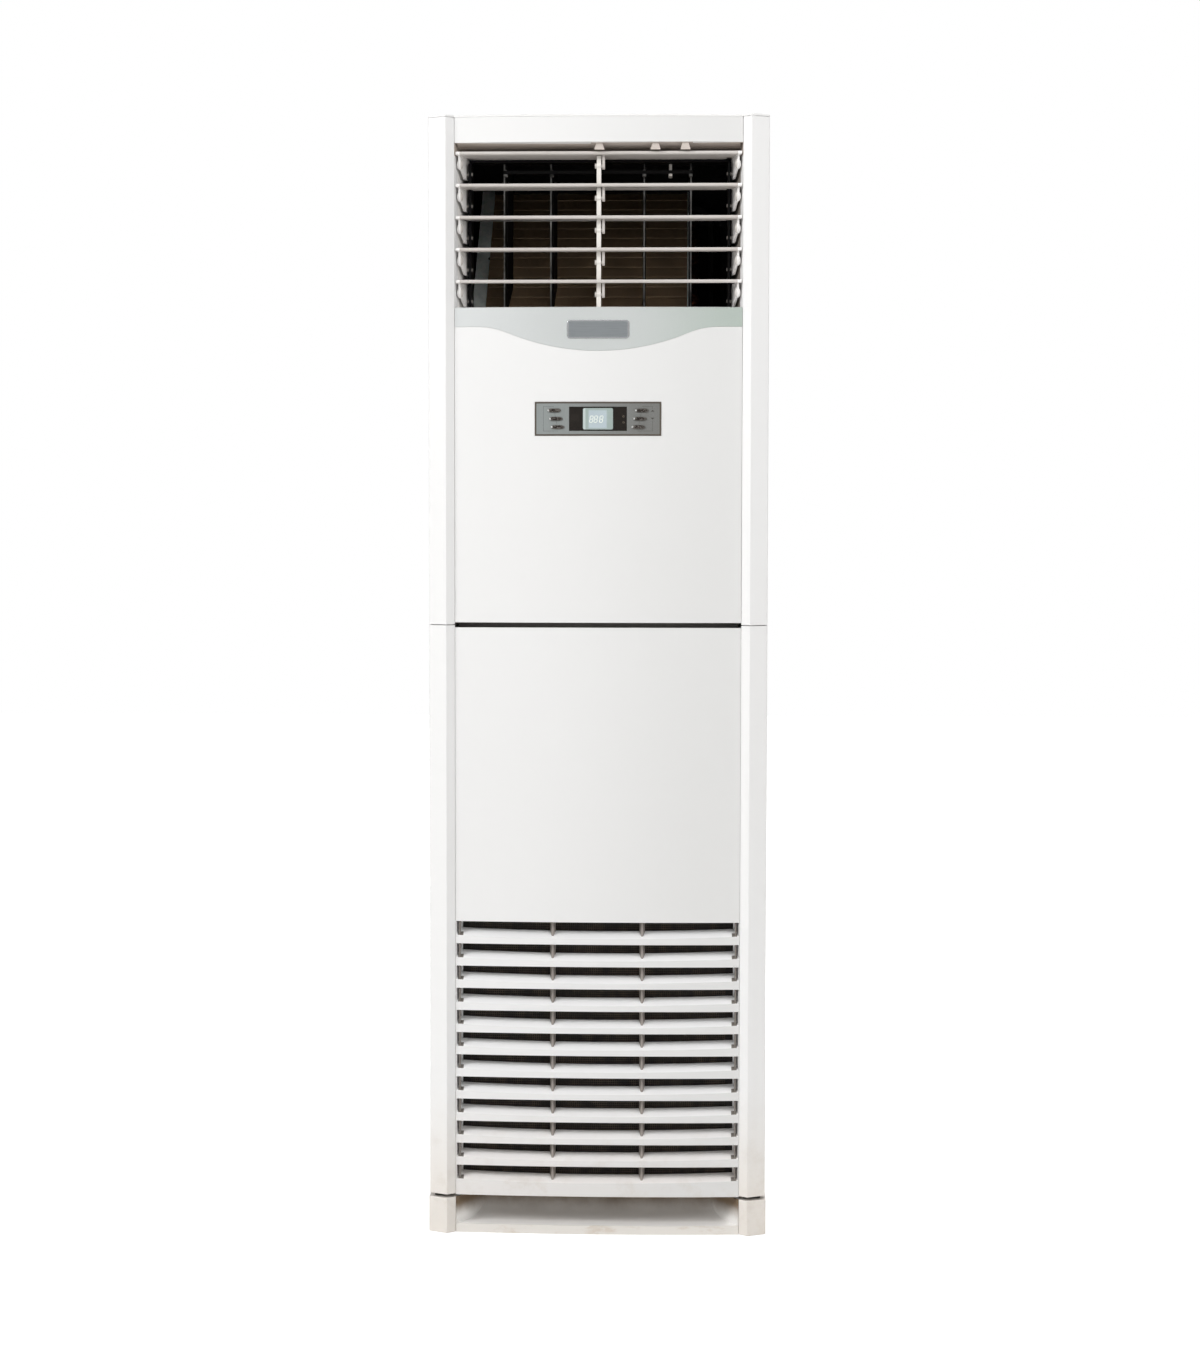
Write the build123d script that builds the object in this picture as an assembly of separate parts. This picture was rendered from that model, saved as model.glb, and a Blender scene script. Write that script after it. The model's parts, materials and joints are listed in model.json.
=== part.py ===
from build123d import *
import os
from math import cos, exp, hypot, log, radians, sin, sqrt

# Floor standing air conditioner: a tall cabinet with an air outlet behind five tilting blades at the top,
# a control panel at chest height and an intake grille that tilts open at the bottom.
# Millimetres. +X is the viewer's right, the front faces -Y, +Z is up, and the cabinet stands on Z = 0 with
# its origin in the middle of its footprint.

# ---- cabinet ----
CABINET_WIDTH = 537.0
HEIGHT = 1776.0
DEPTH = 380.0
SHEET = 1.2                 # painted steel sheet
FIT = 0.3                   # clearance between neighbouring fixed pieces
PANEL_GAP = 0.4             # clearance between a front panel and its column
TOP_COVER = 3.0
SCREW_HEAD = 2.1
SCREW_HEAD_R = 4.0
SCREW_R = 1.7
SCREW_HOLE_R = 2.0
SCREW_ROWS = 4
REAR_FLANGE = 15.0

# ---- columns ----
COLUMN_FACE = 28.5          # width of the sloping outer face, seen from the front
COLUMN_RAKE = 14.0          # how far that face slopes back
COLUMN_SIDE = 36.0          # how far a column reaches back along the side
COLUMN_WALL = 2.5
BEVEL_WIDTH = 13.0          # inner bevel between the ridge and the panels
BEVEL_DEPTH = 10.0
RETURN_DEPTH = 22.0         # a column's inner wall, behind the bevel
RETURN_LIP = 3.5            # its straight part, beside the panel's edge
COLUMN_SEAM = 1.0

# ---- front panels ----
BOW = 8.0                   # how far the front bulges between the columns
PANEL_WALL = 3.0
SEAM_Z = 975.5
SEAM_GAP = 8.0
SEAM_LIP = 20.0             # how far the upper panel's lip hangs behind the finger gap
HEAD_BAR = 43.0             # height of the bar over the outlet
VENT_HEIGHT = 257.0
SILL_DEPTH = 29.7           # from the bulged front back to the duct
LUGS_X = (1.5, 89.5, 136.5) # lugs that hang from the bar, over the top blade
LUG_WIDTH = 16.0            # at the foot
LUG_TOP = 9.5
LUG_DROP = 11.5
LUG_BACK = 5.0              # behind the panel's front
LUG_WALL = 3.0

# ---- plinth and toe space ----
PLINTH_HEIGHT = 56.8
PLINTH_SLOT = 6.0           # dark slot between plinth and column
PLINTH_WALL = 2.5
PLINTH_PROUD = 1.5          # beyond the cabinet on each side
SPIGOT_HEIGHT = 16.0
BASE_SHEET = 2.0
TOE_LIP = 14.0
TOE_DEPTH = 60.0
TOE_FLARE = 44.0            # how far each end wall of the toe space slants inward
TOE_COVE = 36.0
ANCHOR_HOLE_R = 5.0
ANCHOR_X = 180.0
ANCHOR_Y = (-90.0, 150.0)

# ---- intake panel ----
GRILLE_TOP = 502.5
GRILLE_PITCH = 35.76
GRILLE_SLOTS = 12
BLADE_FACE = 12.9           # height of a grille blade's front face at its ends
BLADE_SLOPE = 0.525         # rise of its flat top to the back
BLADE_DEPTH = 20.0
BLADE_SKIN = 2.8
SLOT_END = 1.2              # from the panel's edge to a slot's front corner
SLOT_FLARE = 4.5            # how far a slot's end slants inward at the back
RIB_X = 71.3
RIB_FRONT = 2.6
RIB_BACK = 9.0
RIB_DEPTH = 12.0
HINGE_BACK = 16.0           # hinge line behind the panel's front
HINGE_RISE = 9.0            # and above its foot
HINGE_PIN_R = 3.0
PANEL_SWING_R = 13.5        # room around the hinge for the panel's foot as it tilts
RUNNING_FIT = 0.06          # radial clearance of a turning pin
HINGE_PIN_LENGTH = 4.6
PANEL_RETURN = 14.0         # how far the panel's top edge turns back
CATCH_INSET = 66.6          # a catch's outer end, from the panel's edge
CATCH_WIDTH = 20.0

# ---- air filter and its guides ----
FILTER_INSET = 8.2          # filter's side edge, from the panel's edge
FILTER_HEIGHT = 440.0
FILTER_BACK = 32.0          # behind the panel's front
FILTER_THICK = 5.0
FILTER_BORDER = 12.0
FILTER_MESH = 1.0
FILTER_BARS = 5
FILTER_BAR = 3.0            # height of a cross bar
FILTER_RISE = 10.5          # above the panel's foot
FILTER_SLIP = 0.4
RAIL_WALL = 2.6
RAIL_HOLD = 1.8             # how far a guide laps over the filter's edge
RAIL_STOP = 20.5            # the guides end this far below the seam

# ---- accent band and badge ----
BAND_THICK = 1.2
BAND_HEIGHT = 30.5          # at the band's ends
BAND_SMILE = 38.0           # how much lower it reaches in the middle
BAND_FLAT_X = 190.0         # its foot is level from here to each end
BAND_ARC_R = 373.0
BADGE_WIDTH = 98.0
BADGE_HEIGHT = 29.0
BADGE_DROP = 35.0           # its middle below the outlet
BADGE_THICK = 0.8

# ---- control panel ----
BEZEL_WIDTH = 199.0
BEZEL_HEIGHT = 53.0
BEZEL_DROP = 175.2          # its middle below the outlet
BEZEL_WALL = 2.5
BEZEL_PROUD = 0.6
BEZEL_RIM = 1.4
WINDOW_WIDTH = 90.5
WINDOW_HEIGHT = 37.5
LCD_WIDTH = 48.0
LCD_HEIGHT = 34.2
LENS_WALL = 2.0
BOARD_WALL = 1.6
BOARD_BACK = 18.0           # behind the panel's front
BUTTON_LENGTH = 21.0
BUTTON_HEIGHT = 5.8
BUTTON_POINT = 4.0
BUTTON_TRAVEL = 1.0
BUTTON_X = 66.3             # middle button of each column
BUTTON_STEP_X = 2.7
BUTTON_STEP_Z = 13.1
BUTTON_STEM_R = 2.0

# ---- outlet duct and vane frame ----
DUCT_TAPER = 0.208          # sideways slope of the duct's walls
ROOF_TAPER = 0.204
DUCT_WALL = 2.0
DUCT_GAP = 1.0              # between the sill and the duct
DUCT_LENGTH = 62.3
FRAME_INSET = 15.3          # behind the duct's front
FRAME_WALL = 4.0
FRAME_SIDE = 19.5           # from the columns' inner edge
FRAME_CUT_DEPTH = 15.0      # the frame's upper front corner is cut back for the top blade
FRAME_CUT_DROP = 27.0       # down to here below the outlet's top

# ---- outlet blades ----
LOUVRE_COUNT = 5
LOUVRE_DROP = 15.5          # top blade's nose below the outlet's top
LOUVRE_PITCH = 50.2
LOUVRE_INSET = 10.0         # noses behind the panel's front
LOUVRE_SIDE = 1.8           # from the columns' inner edge
LOUVRE_DEPTH = 44.0
LOUVRE_NOSE = 5.6
LOUVRE_TAIL = 2.6
LOUVRE_TILT_TOP = -4.0      # degrees; the blades fan out from top to bottom
LOUVRE_TILT_STEP = 2.2
PIVOT_BACK = 43.0           # pivot behind the blade's nose
PIVOT_DROP = 27.5           # pivot below it
STUD_R = 2.5
STUD_TIP = 1.5              # how far a stud shows past the post's inner face
POST_CLEAR = 2.0            # a notch in a blade's rear edge clears the frame's post by this
NOTCH_AHEAD = 5.4
ARM_WALL = 3.0
ARM_INSET = 2.8
BULGE = (4.9, 5.5, 8.2)     # half sizes of the bulge on an arm's front edge
BULGE_BACK = 10.0           # its middle behind the nose
BULGE_DROP = 16.9           # and below it

# ---- blade link ----
LINK_WIDTH = 7.0
LINK_DEPTH = 7.0
LINK_X = 0.3
LINK_PIN_AHEAD = 29.5       # link pin ahead of the blade pivot
LINK_PIN_ABOVE = 8.4
LINK_PIN_R = 2.5
LINK_END = 5.0
LINK_RISE = 16.0            # above the top pin, up through the top blade's slot
LINK_FOOT = 1.5             # above the sill; the bar dips through the sill's notch as the blades tilt
LINK_NOTCH = 2.5            # clearance of the bar in that notch
LINK_SLOT_AHEAD = 3.7
LINK_SLOT_BEHIND = 12.0
TAB_X = 5.6
TAB_WALL = 4.0
TAB_R = 5.5
PIN_HEAD_R = 4.0
PIN_HEAD = 2.5

# ---- vertical vanes ----
VANE_COUNT = 5
VANE_PITCH = 73.7
VANE_MIDDLE_X = -2.7
VANE_PIVOT_AHEAD = 8.0      # of the duct's end
VANE_AHEAD = 15.0
VANE_DEPTH = 60.0
VANE_WALL = 2.0
VANE_TILT_LEFT = 9.0        # degrees; the vanes fan out from left to right
VANE_TILT_STEP = -2.9
VANE_PIN_R = 2.5
VANE_ARM = 22.0
VANE_ARM_DROP = 45.0        # below the outlet's top
VANE_ARM_WALL = 3.5
VANE_ARM_WIDTH = 6.0
VANE_CUT = 46.0             # height above the duct's floor from which the rear corner is cut off
VANE_LINK_PIN_R = 2.0
VANE_LINK_HEIGHT = 5.0
VANE_LINK_WIDTH = 7.0
CRANK_X = 112.5
MOTOR_R = 17.5
MOTOR_HEIGHT = 22.0
MOTOR_SEAT_DROP = 11.1      # below the outlet's top

# ---- evaporator ----
COIL_FOOT_AHEAD = 29.0      # slab's lower front corner ahead of the duct's end
COIL_FOOT_DROP = 36.0       # and below the outlet
COIL_CLEAR = 2.5            # between the slab and the rear liner
COIL_THICK = 60.0
COIL_LEFT_SIDE = 41.0       # from the left column's inner edge
COIL_RIGHT_SIDE = 87.0      # from the right column's, with room for the pipes
TUBE_PITCH = 25.4
TUBE_R = 4.8
TUBE_FIRST = 14.0
TUBE_ROWS = (17.0, 43.0)
GROOVE = 1.5
PLATE_WALL = 1.5
PLATE_FLANGE = 21.0

# ---- drain ----
PAN_AHEAD = 13.0            # of the coil's foot
PAN_DEPTH = 85.0
PAN_DROP = 55.0             # below the coil's foot
PAN_HEIGHT = 35.0
PAN_WALL = 2.0
SPOUT_SIDE = 27.3           # from the side panel
SPOUT_AHEAD = 23.0          # of the pan's back
SPOUT_R = 7.9
SPOUT_BORE_R = 6.0
SPOUT_LENGTH = 14.0
DRAIN_R = 10.0
DRAIN_BORE_R = 8.0
DRAIN_EXIT_Z = 110.0
DRAIN_BEND = 40.0

# ---- refrigerant pipes ----
GAS_R = 9.5
LIQUID_R = 4.8
PIPE_WALL = 1.0
GAS_SIDE = 62.3             # from the side panel
PIPE_SPACING = 25.0
GAS_EXIT_Z = 150.0
LIQUID_EXIT_Z = 210.0
PIPE_END = 3.7              # inside the rear panel's outer face
NUT_LENGTH = 18.0
PORT_R = 50.0

# ---- fan ----
DECK_DROP = 215.2           # below the seam
DECK_BACK = 49.0            # behind the panel's front
WHEEL_X = -15.0
WHEEL_Z = 360.0
WHEEL_R = 165.0
WHEEL_EYE_R = 138.0
WHEEL_FRONT_GAP = 15.0      # to the housing's front
WHEEL_BACK_GAP = 11.5
WHEEL_BLADES = 36
WHEEL_PLATE = 2.5
HUB_R = 22.0
SHAFT_R = 6.0
SHAFT_REACH = 45.0          # behind the housing
HOUSING_BACK = 118.0        # its front behind the panel's front
HOUSING_DEPTH = 150.0
HOUSING_SHEET = 1.5
SCROLL_START_R = 180.0
SCROLL_END_R = 245.0
SCROLL_START = 60.0         # degrees from +X, where the scroll starts
INLET_R = 118.0
INLET_LIP = 10.0
MOTOR_BODY_R = 62.0
MOTOR_BODY = 68.0
MOTOR_FLANGE_R = 80.0
MOTOR_FLANGE = 3.0
MOTOR_OPENING_R = 30.0

# ---- electrical ----
BOX_SIDE = 57.3             # from the side panel
BOX_BACK = 56.0             # behind the panel's front
BOX_WIDTH = 230.0
BOX_DEPTH = 60.0
BOX_HEIGHT = 170.0
TERMINAL = (20.0, 40.0, 80.0)
TERMINAL_WELLS = 4
GLAND_SIDE = 77.3           # from the side panel
GLAND_Z = 160.0
GLAND_BORE_R = 5.0
GLAND_R = 7.9
GLAND_HEAD_R = 12.0
GLAND_NUT = 6.0

# ---- liner ----
LINER = 5.0
LINER_RISE = 10.0           # above the drain pan's rim

# ---- places that follow from the sizes above ----
HALF = CABINET_WIDTH / 2
PLINTH_HALF = HALF + PLINTH_PROUD
FRONT_Y = -DEPTH / 2
BACK_Y = DEPTH / 2 - SCREW_HEAD - 0.2          # outer face of the rear panel
RIDGE_X = HALF - COLUMN_FACE
BAY_HALF = RIDGE_X - BEVEL_WIDTH               # half the width between the columns
SHOULDER_Y = FRONT_Y + COLUMN_RAKE             # where a column's face meets its side
EDGE_Y = FRONT_Y + BEVEL_DEPTH                 # front face of a panel at its edges
PANEL_Y = EDGE_Y - BOW                         # and at its middle
PANEL_HALF = BAY_HALF - PANEL_GAP
COLUMN_BACK_Y = SHOULDER_Y + COLUMN_SIDE
SIDE_INNER_X = HALF - SHEET
COLUMN_FOOT_Z = PLINTH_HEIGHT + PLINTH_SLOT
PANEL_FOOT_Z = COLUMN_FOOT_Z - 1.8
COVER_Z = HEIGHT - TOP_COVER
WALL_TOP_Z = COVER_Z - FIT
REAR_SHEET_Y = BACK_Y - SHEET
FLANGE_Y = REAR_SHEET_Y - FIT                  # back face of a side panel's rear flange
BOW_RADIUS = (BAY_HALF ** 2 + BOW ** 2) / (2 * BOW)
BOW_AXIS = Axis((0, PANEL_Y + BOW_RADIUS, 0), (0, 0, 1))
SILL_Y = PANEL_Y + SILL_DEPTH
VENT_TOP = HEIGHT - HEAD_BAR
VENT_BOTTOM = VENT_TOP - VENT_HEIGHT
BAND_FLAT_Z = VENT_BOTTOM - BAND_HEIGHT
BAND_LOW_Z = BAND_FLAT_Z - BAND_SMILE
BADGE_Z = VENT_BOTTOM - BADGE_DROP
BEZEL_Z = VENT_BOTTOM - BEZEL_DROP
BOARD_Y = PANEL_Y + BOARD_BACK

HINGE_Y = PANEL_Y + HINGE_BACK
HINGE_Z = PANEL_FOOT_Z + HINGE_RISE
FILTER_HALF = PANEL_HALF - FILTER_INSET
FILTER_FRONT = PANEL_Y + FILTER_BACK
FILTER_FLOOR = PANEL_FOOT_Z + FILTER_RISE
RAIL_TOP = SEAM_Z - RAIL_STOP

DUCT_FRONT_Y = SILL_Y + DUCT_GAP
DUCT_END_Y = DUCT_FRONT_Y + DUCT_LENGTH
DUCT_FLOOR_Z = VENT_BOTTOM - DUCT_WALL
FRAME_FRONT_Y = DUCT_FRONT_Y + FRAME_INSET
FRAME_HALF = BAY_HALF - FRAME_SIDE
LOUVRE_TOP_Z = VENT_TOP - LOUVRE_DROP
LOUVRE_FRONT_Y = PANEL_Y + LOUVRE_INSET
LOUVRE_HALF = BAY_HALF - LOUVRE_SIDE
STUD_TIP_X = FRAME_HALF - FRAME_WALL - STUD_TIP
VANE_PIVOT_Y = DUCT_END_Y - VANE_PIVOT_AHEAD
VANE_ARM_Z = VENT_TOP - VANE_ARM_DROP
VANE_CUT_Z = DUCT_FLOOR_Z + VANE_CUT
MOTOR_SEAT_Z = VENT_TOP - MOTOR_SEAT_DROP

LINER_FACE_Y = FLANGE_Y - SHEET - FIT - LINER
COIL_LEFT_X = -(BAY_HALF - COIL_LEFT_SIDE)
COIL_RIGHT_X = BAY_HALF - COIL_RIGHT_SIDE
COIL_FOOT_Y = DUCT_END_Y - COIL_FOOT_AHEAD
COIL_FOOT_Z = VENT_BOTTOM - COIL_FOOT_DROP
COIL_LENGTH = (LINER_FACE_Y - COIL_CLEAR - COIL_FOOT_Y) * sqrt(2) - COIL_THICK
PAN_FRONT_Y = COIL_FOOT_Y - PAN_AHEAD
PAN_BACK_Y = PAN_FRONT_Y + PAN_DEPTH
PAN_BOTTOM_Z = COIL_FOOT_Z - PAN_DROP
PAN_RIM_Z = PAN_BOTTOM_Z + PAN_HEIGHT
LINER_BOTTOM_Z = PAN_RIM_Z + LINER_RISE
SPOUT_X = -(SIDE_INNER_X - SPOUT_SIDE)
SPOUT_Y = PAN_BACK_Y - SPOUT_AHEAD
GAS_X = SIDE_INNER_X - GAS_SIDE
LIQUID_X = GAS_X - PIPE_SPACING
PIPE_END_Y = BACK_Y - PIPE_END
PORT_X = (GAS_X + LIQUID_X) / 2
PORT_Z = (GAS_EXIT_Z + LIQUID_EXIT_Z) / 2

DECK_Z = SEAM_Z - DECK_DROP
DECK_FRONT_Y = PANEL_Y + DECK_BACK
HOUSING_FRONT_Y = PANEL_Y + HOUSING_BACK
HOUSING_BACK_Y = HOUSING_FRONT_Y + HOUSING_DEPTH
WHEEL_FRONT_Y = HOUSING_FRONT_Y + WHEEL_FRONT_GAP
WHEEL_BACK_Y = HOUSING_BACK_Y - WHEEL_BACK_GAP
SHAFT_END_Y = HOUSING_BACK_Y + SHAFT_REACH
BOX_X = (-(SIDE_INNER_X - BOX_SIDE), -(SIDE_INNER_X - BOX_SIDE) + BOX_WIDTH)
BOX_Y = (PANEL_Y + BOX_BACK, PANEL_Y + BOX_BACK + BOX_DEPTH)
GLAND_X = -(SIDE_INNER_X - GLAND_SIDE)
FAR = 2 * HEIGHT                               # longer than anything


# ---- shape helpers ----
def block(x, y, z):
    """Box between two limits on each axis."""
    size = [abs(b - a) for a, b in (x, y, z)]
    middle = [(a + b) / 2 for a, b in (x, y, z)]
    return Pos(*middle) * Box(*size)


def prism(points, axis, start, end):
    """Straight prism over a closed outline, given in the two axes across its own."""
    places = {
        "x": lambda a, b: (start, a, b),
        "y": lambda a, b: (a, start, b),
        "z": lambda a, b: (a, b, start),
    }
    direction = {"x": (1, 0, 0), "y": (0, 1, 0), "z": (0, 0, 1)}[axis]
    face = make_face(Polyline(*[places[axis](a, b) for a, b in points], close=True))
    return extrude(face, amount=end - start, dir=direction)


def rod(axis, centre, start, end, radius):
    """Cylinder along an axis; centre gives its place in the two axes across it."""
    a, b = centre
    plane = {
        "x": Plane((start, a, b), x_dir=(0, 1, 0), z_dir=(1, 0, 0)),
        "y": Plane((a, start, b), x_dir=(1, 0, 0), z_dir=(0, 1, 0)),
        "z": Plane((a, b, start), x_dir=(1, 0, 0), z_dir=(0, 0, 1)),
    }[axis]
    return extrude(plane * Circle(radius), amount=end - start)


def mirrored(shape):
    """The same piece on the other side of the cabinet."""
    return mirror(shape, about=Plane.YZ)


def both_sides(shape):
    """A feature and its mirror image."""
    return shape + mirrored(shape)


def wall_outline(path, wall):
    """Outline of a wall of even thickness to the left of an open path."""
    inner = []
    for index, (x, y) in enumerate(path):
        normals = []
        for a, b in zip(path[max(index - 1, 0):index + 1], path[max(index, 1):index + 2]):
            length = hypot(b[0] - a[0], b[1] - a[1])
            normals.append(((a[1] - b[1]) / length, (b[0] - a[0]) / length))
        nx = sum(normal[0] for normal in normals) / len(normals)
        ny = sum(normal[1] for normal in normals) / len(normals)
        reach = wall / (nx * nx + ny * ny)
        inner.append((x + nx * reach, y + ny * reach))
    return list(path) + inner[::-1]


def bowed(section, half):
    """A (y, z) section carried around the bulge of the front and trimmed to a half width."""
    swing = 12
    sketch = make_face(Polyline(*[(0, y, z) for y, z in section], close=True))
    ring = revolve(sketch.rotate(BOW_AXIS, -swing / 2), BOW_AXIS, swing)
    return ring & block((-half, half), (-FAR, FAR), (-FAR, FAR))


def upright_edges(shape, x, y):
    """Vertical edges of a shape near a place in plan."""
    edges = shape.edges().filter_by(Axis.Z)
    return edges.filter_by(lambda e: hypot(e.center().X - x, e.center().Y - y) < 0.2)


# ---- plinth, base and toe space ----
def plinth_path():
    """Outer line of the right plinth in plan, from the toe space round to the back."""
    return [
        (BAY_HALF, EDGE_Y + RETURN_LIP * 3),
        (BAY_HALF, EDGE_Y),
        (RIDGE_X, FRONT_Y),
        (PLINTH_HALF, SHOULDER_Y),
        (PLINTH_HALF, BACK_Y),
    ]


def plinth_moulding():
    """Right plinth: hollow front block with a closed top, a spigot for the column and a side skirt."""
    wall = prism(wall_outline(plinth_path(), PLINTH_WALL), "z", 0, PLINTH_HEIGHT)
    corner = plinth_path()[:4] + [(PLINTH_HALF, COLUMN_BACK_Y), (BAY_HALF, COLUMN_BACK_Y)]
    top = prism(corner, "z", PLINTH_HEIGHT - PLINTH_WALL, PLINTH_HEIGHT)
    clear = COLUMN_WALL + 2 * PLINTH_WALL
    spigot = block(
        (BAY_HALF + clear, HALF - clear),
        (SHOULDER_Y + clear, COLUMN_BACK_Y),
        (PLINTH_HEIGHT - PLINTH_WALL, PLINTH_HEIGHT + SPIGOT_HEIGHT),
    )
    moulding = wall + top + spigot
    moulding = fillet(upright_edges(moulding, PLINTH_HALF, SHOULDER_Y), 4.0)
    return fillet(upright_edges(moulding, RIDGE_X, FRONT_Y), 1.5)


def base_plate():
    """Flat steel base with the bulged toe lip along its front edge and four anchor holes."""
    inner = PLINTH_HALF - PLINTH_WALL - FIT
    shoulder = EDGE_Y + RETURN_LIP * 3 + FIT
    lip = bowed(
        [
            (PANEL_Y, 0),
            (PANEL_Y, TOE_LIP),
            (PANEL_Y + PANEL_WALL, TOE_LIP),
            (PANEL_Y + PANEL_WALL, 0),
        ],
        PANEL_HALF,
    )
    tongue = block((-PANEL_HALF, PANEL_HALF), (EDGE_Y + PANEL_WALL / 2, shoulder + 1), (0, BASE_SHEET))
    floor = block((-inner, inner), (shoulder, FLANGE_Y), (0, BASE_SHEET))
    plate = lip + tongue + floor
    for x in (-ANCHOR_X, ANCHOR_X):
        for y in ANCHOR_Y:
            plate -= rod("z", (x, y), -1, BASE_SHEET + 1, ANCHOR_HOLE_R)
    return plate


def toe_volume(grow, low, high):
    """Space behind the toe opening: it narrows to the back, where its floor curves up."""
    front = PANEL_Y + PANEL_WALL + FIT
    edge = EDGE_Y + PANEL_WALL + FIT
    back = EDGE_Y + TOE_DEPTH + grow
    narrow = PANEL_HALF - TOE_FLARE + grow
    wide = BAY_HALF - FIT - PLINTH_WALL + grow
    plan = [(-wide, front), (wide, front), (wide, edge), (narrow, back), (-narrow, back), (-wide, edge)]
    space = prism(plan, "z", low, high)
    foot = space.edges().group_by(Axis.Z)[0].sort_by(Axis.Y)[-1]
    return fillet(foot, TOE_COVE + grow)


def toe_scoop():
    """Coved shell behind the toe opening, with a ceiling strip behind the panel's swing."""
    wall = PLINTH_WALL
    top = PANEL_FOOT_Z - wall
    shell = toe_volume(wall, TOE_LIP - wall, top) - toe_volume(0, TOE_LIP, top + 1)
    half = BAY_HALF - TOE_FLARE
    ceiling = block((-half, half), (HINGE_Y + PANEL_SWING_R + FIT, EDGE_Y + TOE_DEPTH), (top - wall, top))
    front = PANEL_Y + PANEL_WALL + FIT
    ahead = bowed([(FRONT_Y - 20, -1), (FRONT_Y - 20, HEIGHT), (front, HEIGHT), (front, -1)], HALF)
    swing = rod("x", (HINGE_Y, HINGE_Z), -HALF, HALF, PANEL_SWING_R)
    return shell + ceiling - ahead - swing


# ---- columns and cabinet walls ----
def column_path(lower):
    """Outer line of a right column in plan; an upper one's inner wall follows the duct's slope."""
    lean = 0 if lower else DUCT_TAPER * (RETURN_DEPTH - RETURN_LIP)
    return [
        (BAY_HALF - lean, EDGE_Y + RETURN_DEPTH),
        (BAY_HALF, EDGE_Y + RETURN_LIP),
        (BAY_HALF, EDGE_Y),
        (RIDGE_X, FRONT_Y),
        (HALF, SHOULDER_Y),
        (HALF, COLUMN_BACK_Y),
    ]


def column(lower):
    """Right front column, below or above the seam."""
    low, high = SEAM_Z + COLUMN_SEAM / 2, WALL_TOP_Z
    path = column_path(lower)
    if lower:
        low, high = COLUMN_FOOT_Z, SEAM_Z - COLUMN_SEAM / 2
        path.remove((BAY_HALF, EDGE_Y + RETURN_LIP))
    post = prism(wall_outline(path, COLUMN_WALL), "z", low, high)
    post = fillet(upright_edges(post, HALF, SHOULDER_Y), 4.0)
    post = fillet(upright_edges(post, RIDGE_X, FRONT_Y), 1.5)
    if lower:
        post -= rod("x", (HINGE_Y, HINGE_Z), BAY_HALF - 1, BAY_HALF + COLUMN_WALL + 1,
                    HINGE_PIN_R + RUNNING_FIT)
    return post


def side_panel():
    """Right side sheet with a flange folded in along its rear edge."""
    low = PLINTH_HEIGHT + FIT
    sheet = block((SIDE_INNER_X, HALF), (COLUMN_BACK_Y + PANEL_GAP, FLANGE_Y), (low, WALL_TOP_Z))
    flange = block((HALF - REAR_FLANGE, HALF), (FLANGE_Y - SHEET, FLANGE_Y), (low, WALL_TOP_Z))
    return sheet + flange - screw_holes()


def screw_places():
    """Places of the rear screws in the (x, z) plane."""
    x = HALF - REAR_FLANGE / 2
    low, high = PLINTH_HEIGHT + 40, WALL_TOP_Z - 40
    step = (high - low) / (SCREW_ROWS - 1)
    return [(side * x, low + row * step) for side in (-1, 1) for row in range(SCREW_ROWS)]


def screw_holes():
    """Clearance holes for the rear screws."""
    holes = [rod("y", place, FLANGE_Y - SHEET - 1, BACK_Y + 1, SCREW_HOLE_R) for place in screw_places()]
    return Compound(children=holes)


def rear_panel():
    """Rear sheet with the pipe port, the drain hole and the cable hole."""
    sheet = block((-HALF + FIT, HALF - FIT), (REAR_SHEET_Y, BACK_Y), (PLINTH_HEIGHT + FIT, WALL_TOP_Z))
    sheet -= rod("y", (PORT_X, PORT_Z), REAR_SHEET_Y - 1, BACK_Y + 1, PORT_R)
    sheet -= rod("y", (SPOUT_X, DRAIN_EXIT_Z), REAR_SHEET_Y - 1, BACK_Y + 1, DRAIN_R + FIT)
    sheet -= rod("y", (GLAND_X, GLAND_Z), REAR_SHEET_Y - 1, BACK_Y + 1, GLAND_R + FIT)
    return sheet - screw_holes()


def cabinet_screws():
    """Pan head screws that hold the rear panel to the side panels' flanges."""
    screws = []
    for place in screw_places():
        head = rod("y", place, BACK_Y + 0.1, BACK_Y + 0.1 + SCREW_HEAD, SCREW_HEAD_R)
        shank = rod("y", place, FLANGE_Y - SHEET, BACK_Y + 0.2, SCREW_R)
        screws.append(head + shank)
    return Compound(children=screws)


def top_cover():
    """Top plate over the whole plan, with a rounded upper rim."""
    right = [(BAY_HALF, EDGE_Y), (RIDGE_X, FRONT_Y), (HALF, SHOULDER_Y), (HALF, BACK_Y)]
    left = [(-x, y) for x, y in reversed(right)]
    plan = right + left
    plate = prism(plan, "z", COVER_Z, HEIGHT)
    plate += bowed(
        [(PANEL_Y, COVER_Z), (PANEL_Y, HEIGHT), (EDGE_Y + BOW, HEIGHT), (EDGE_Y + BOW, COVER_Z)], BAY_HALF)
    plate = fillet(upright_edges(plate, HALF, SHOULDER_Y) + upright_edges(plate, -HALF, SHOULDER_Y), 4.0)
    rim = plate.faces().sort_by(Axis.Z)[-1].outer_wire().edges()
    return fillet(rim, TOP_COVER / 2)


def trim_to_duct(shape):
    """Trim a front piece flat where the duct starts, and clear of the columns' slanting inner walls."""
    shape -= block((-HALF, HALF), (EDGE_Y + RETURN_DEPTH, 0), (0, HEIGHT))
    reach = BAY_HALF - DUCT_TAPER * (RETURN_DEPTH - RETURN_LIP) - FIT
    return shape - both_sides(block((reach, HALF), (EDGE_Y + RETURN_LIP - FIT, 0), (0, HEIGHT)))


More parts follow.
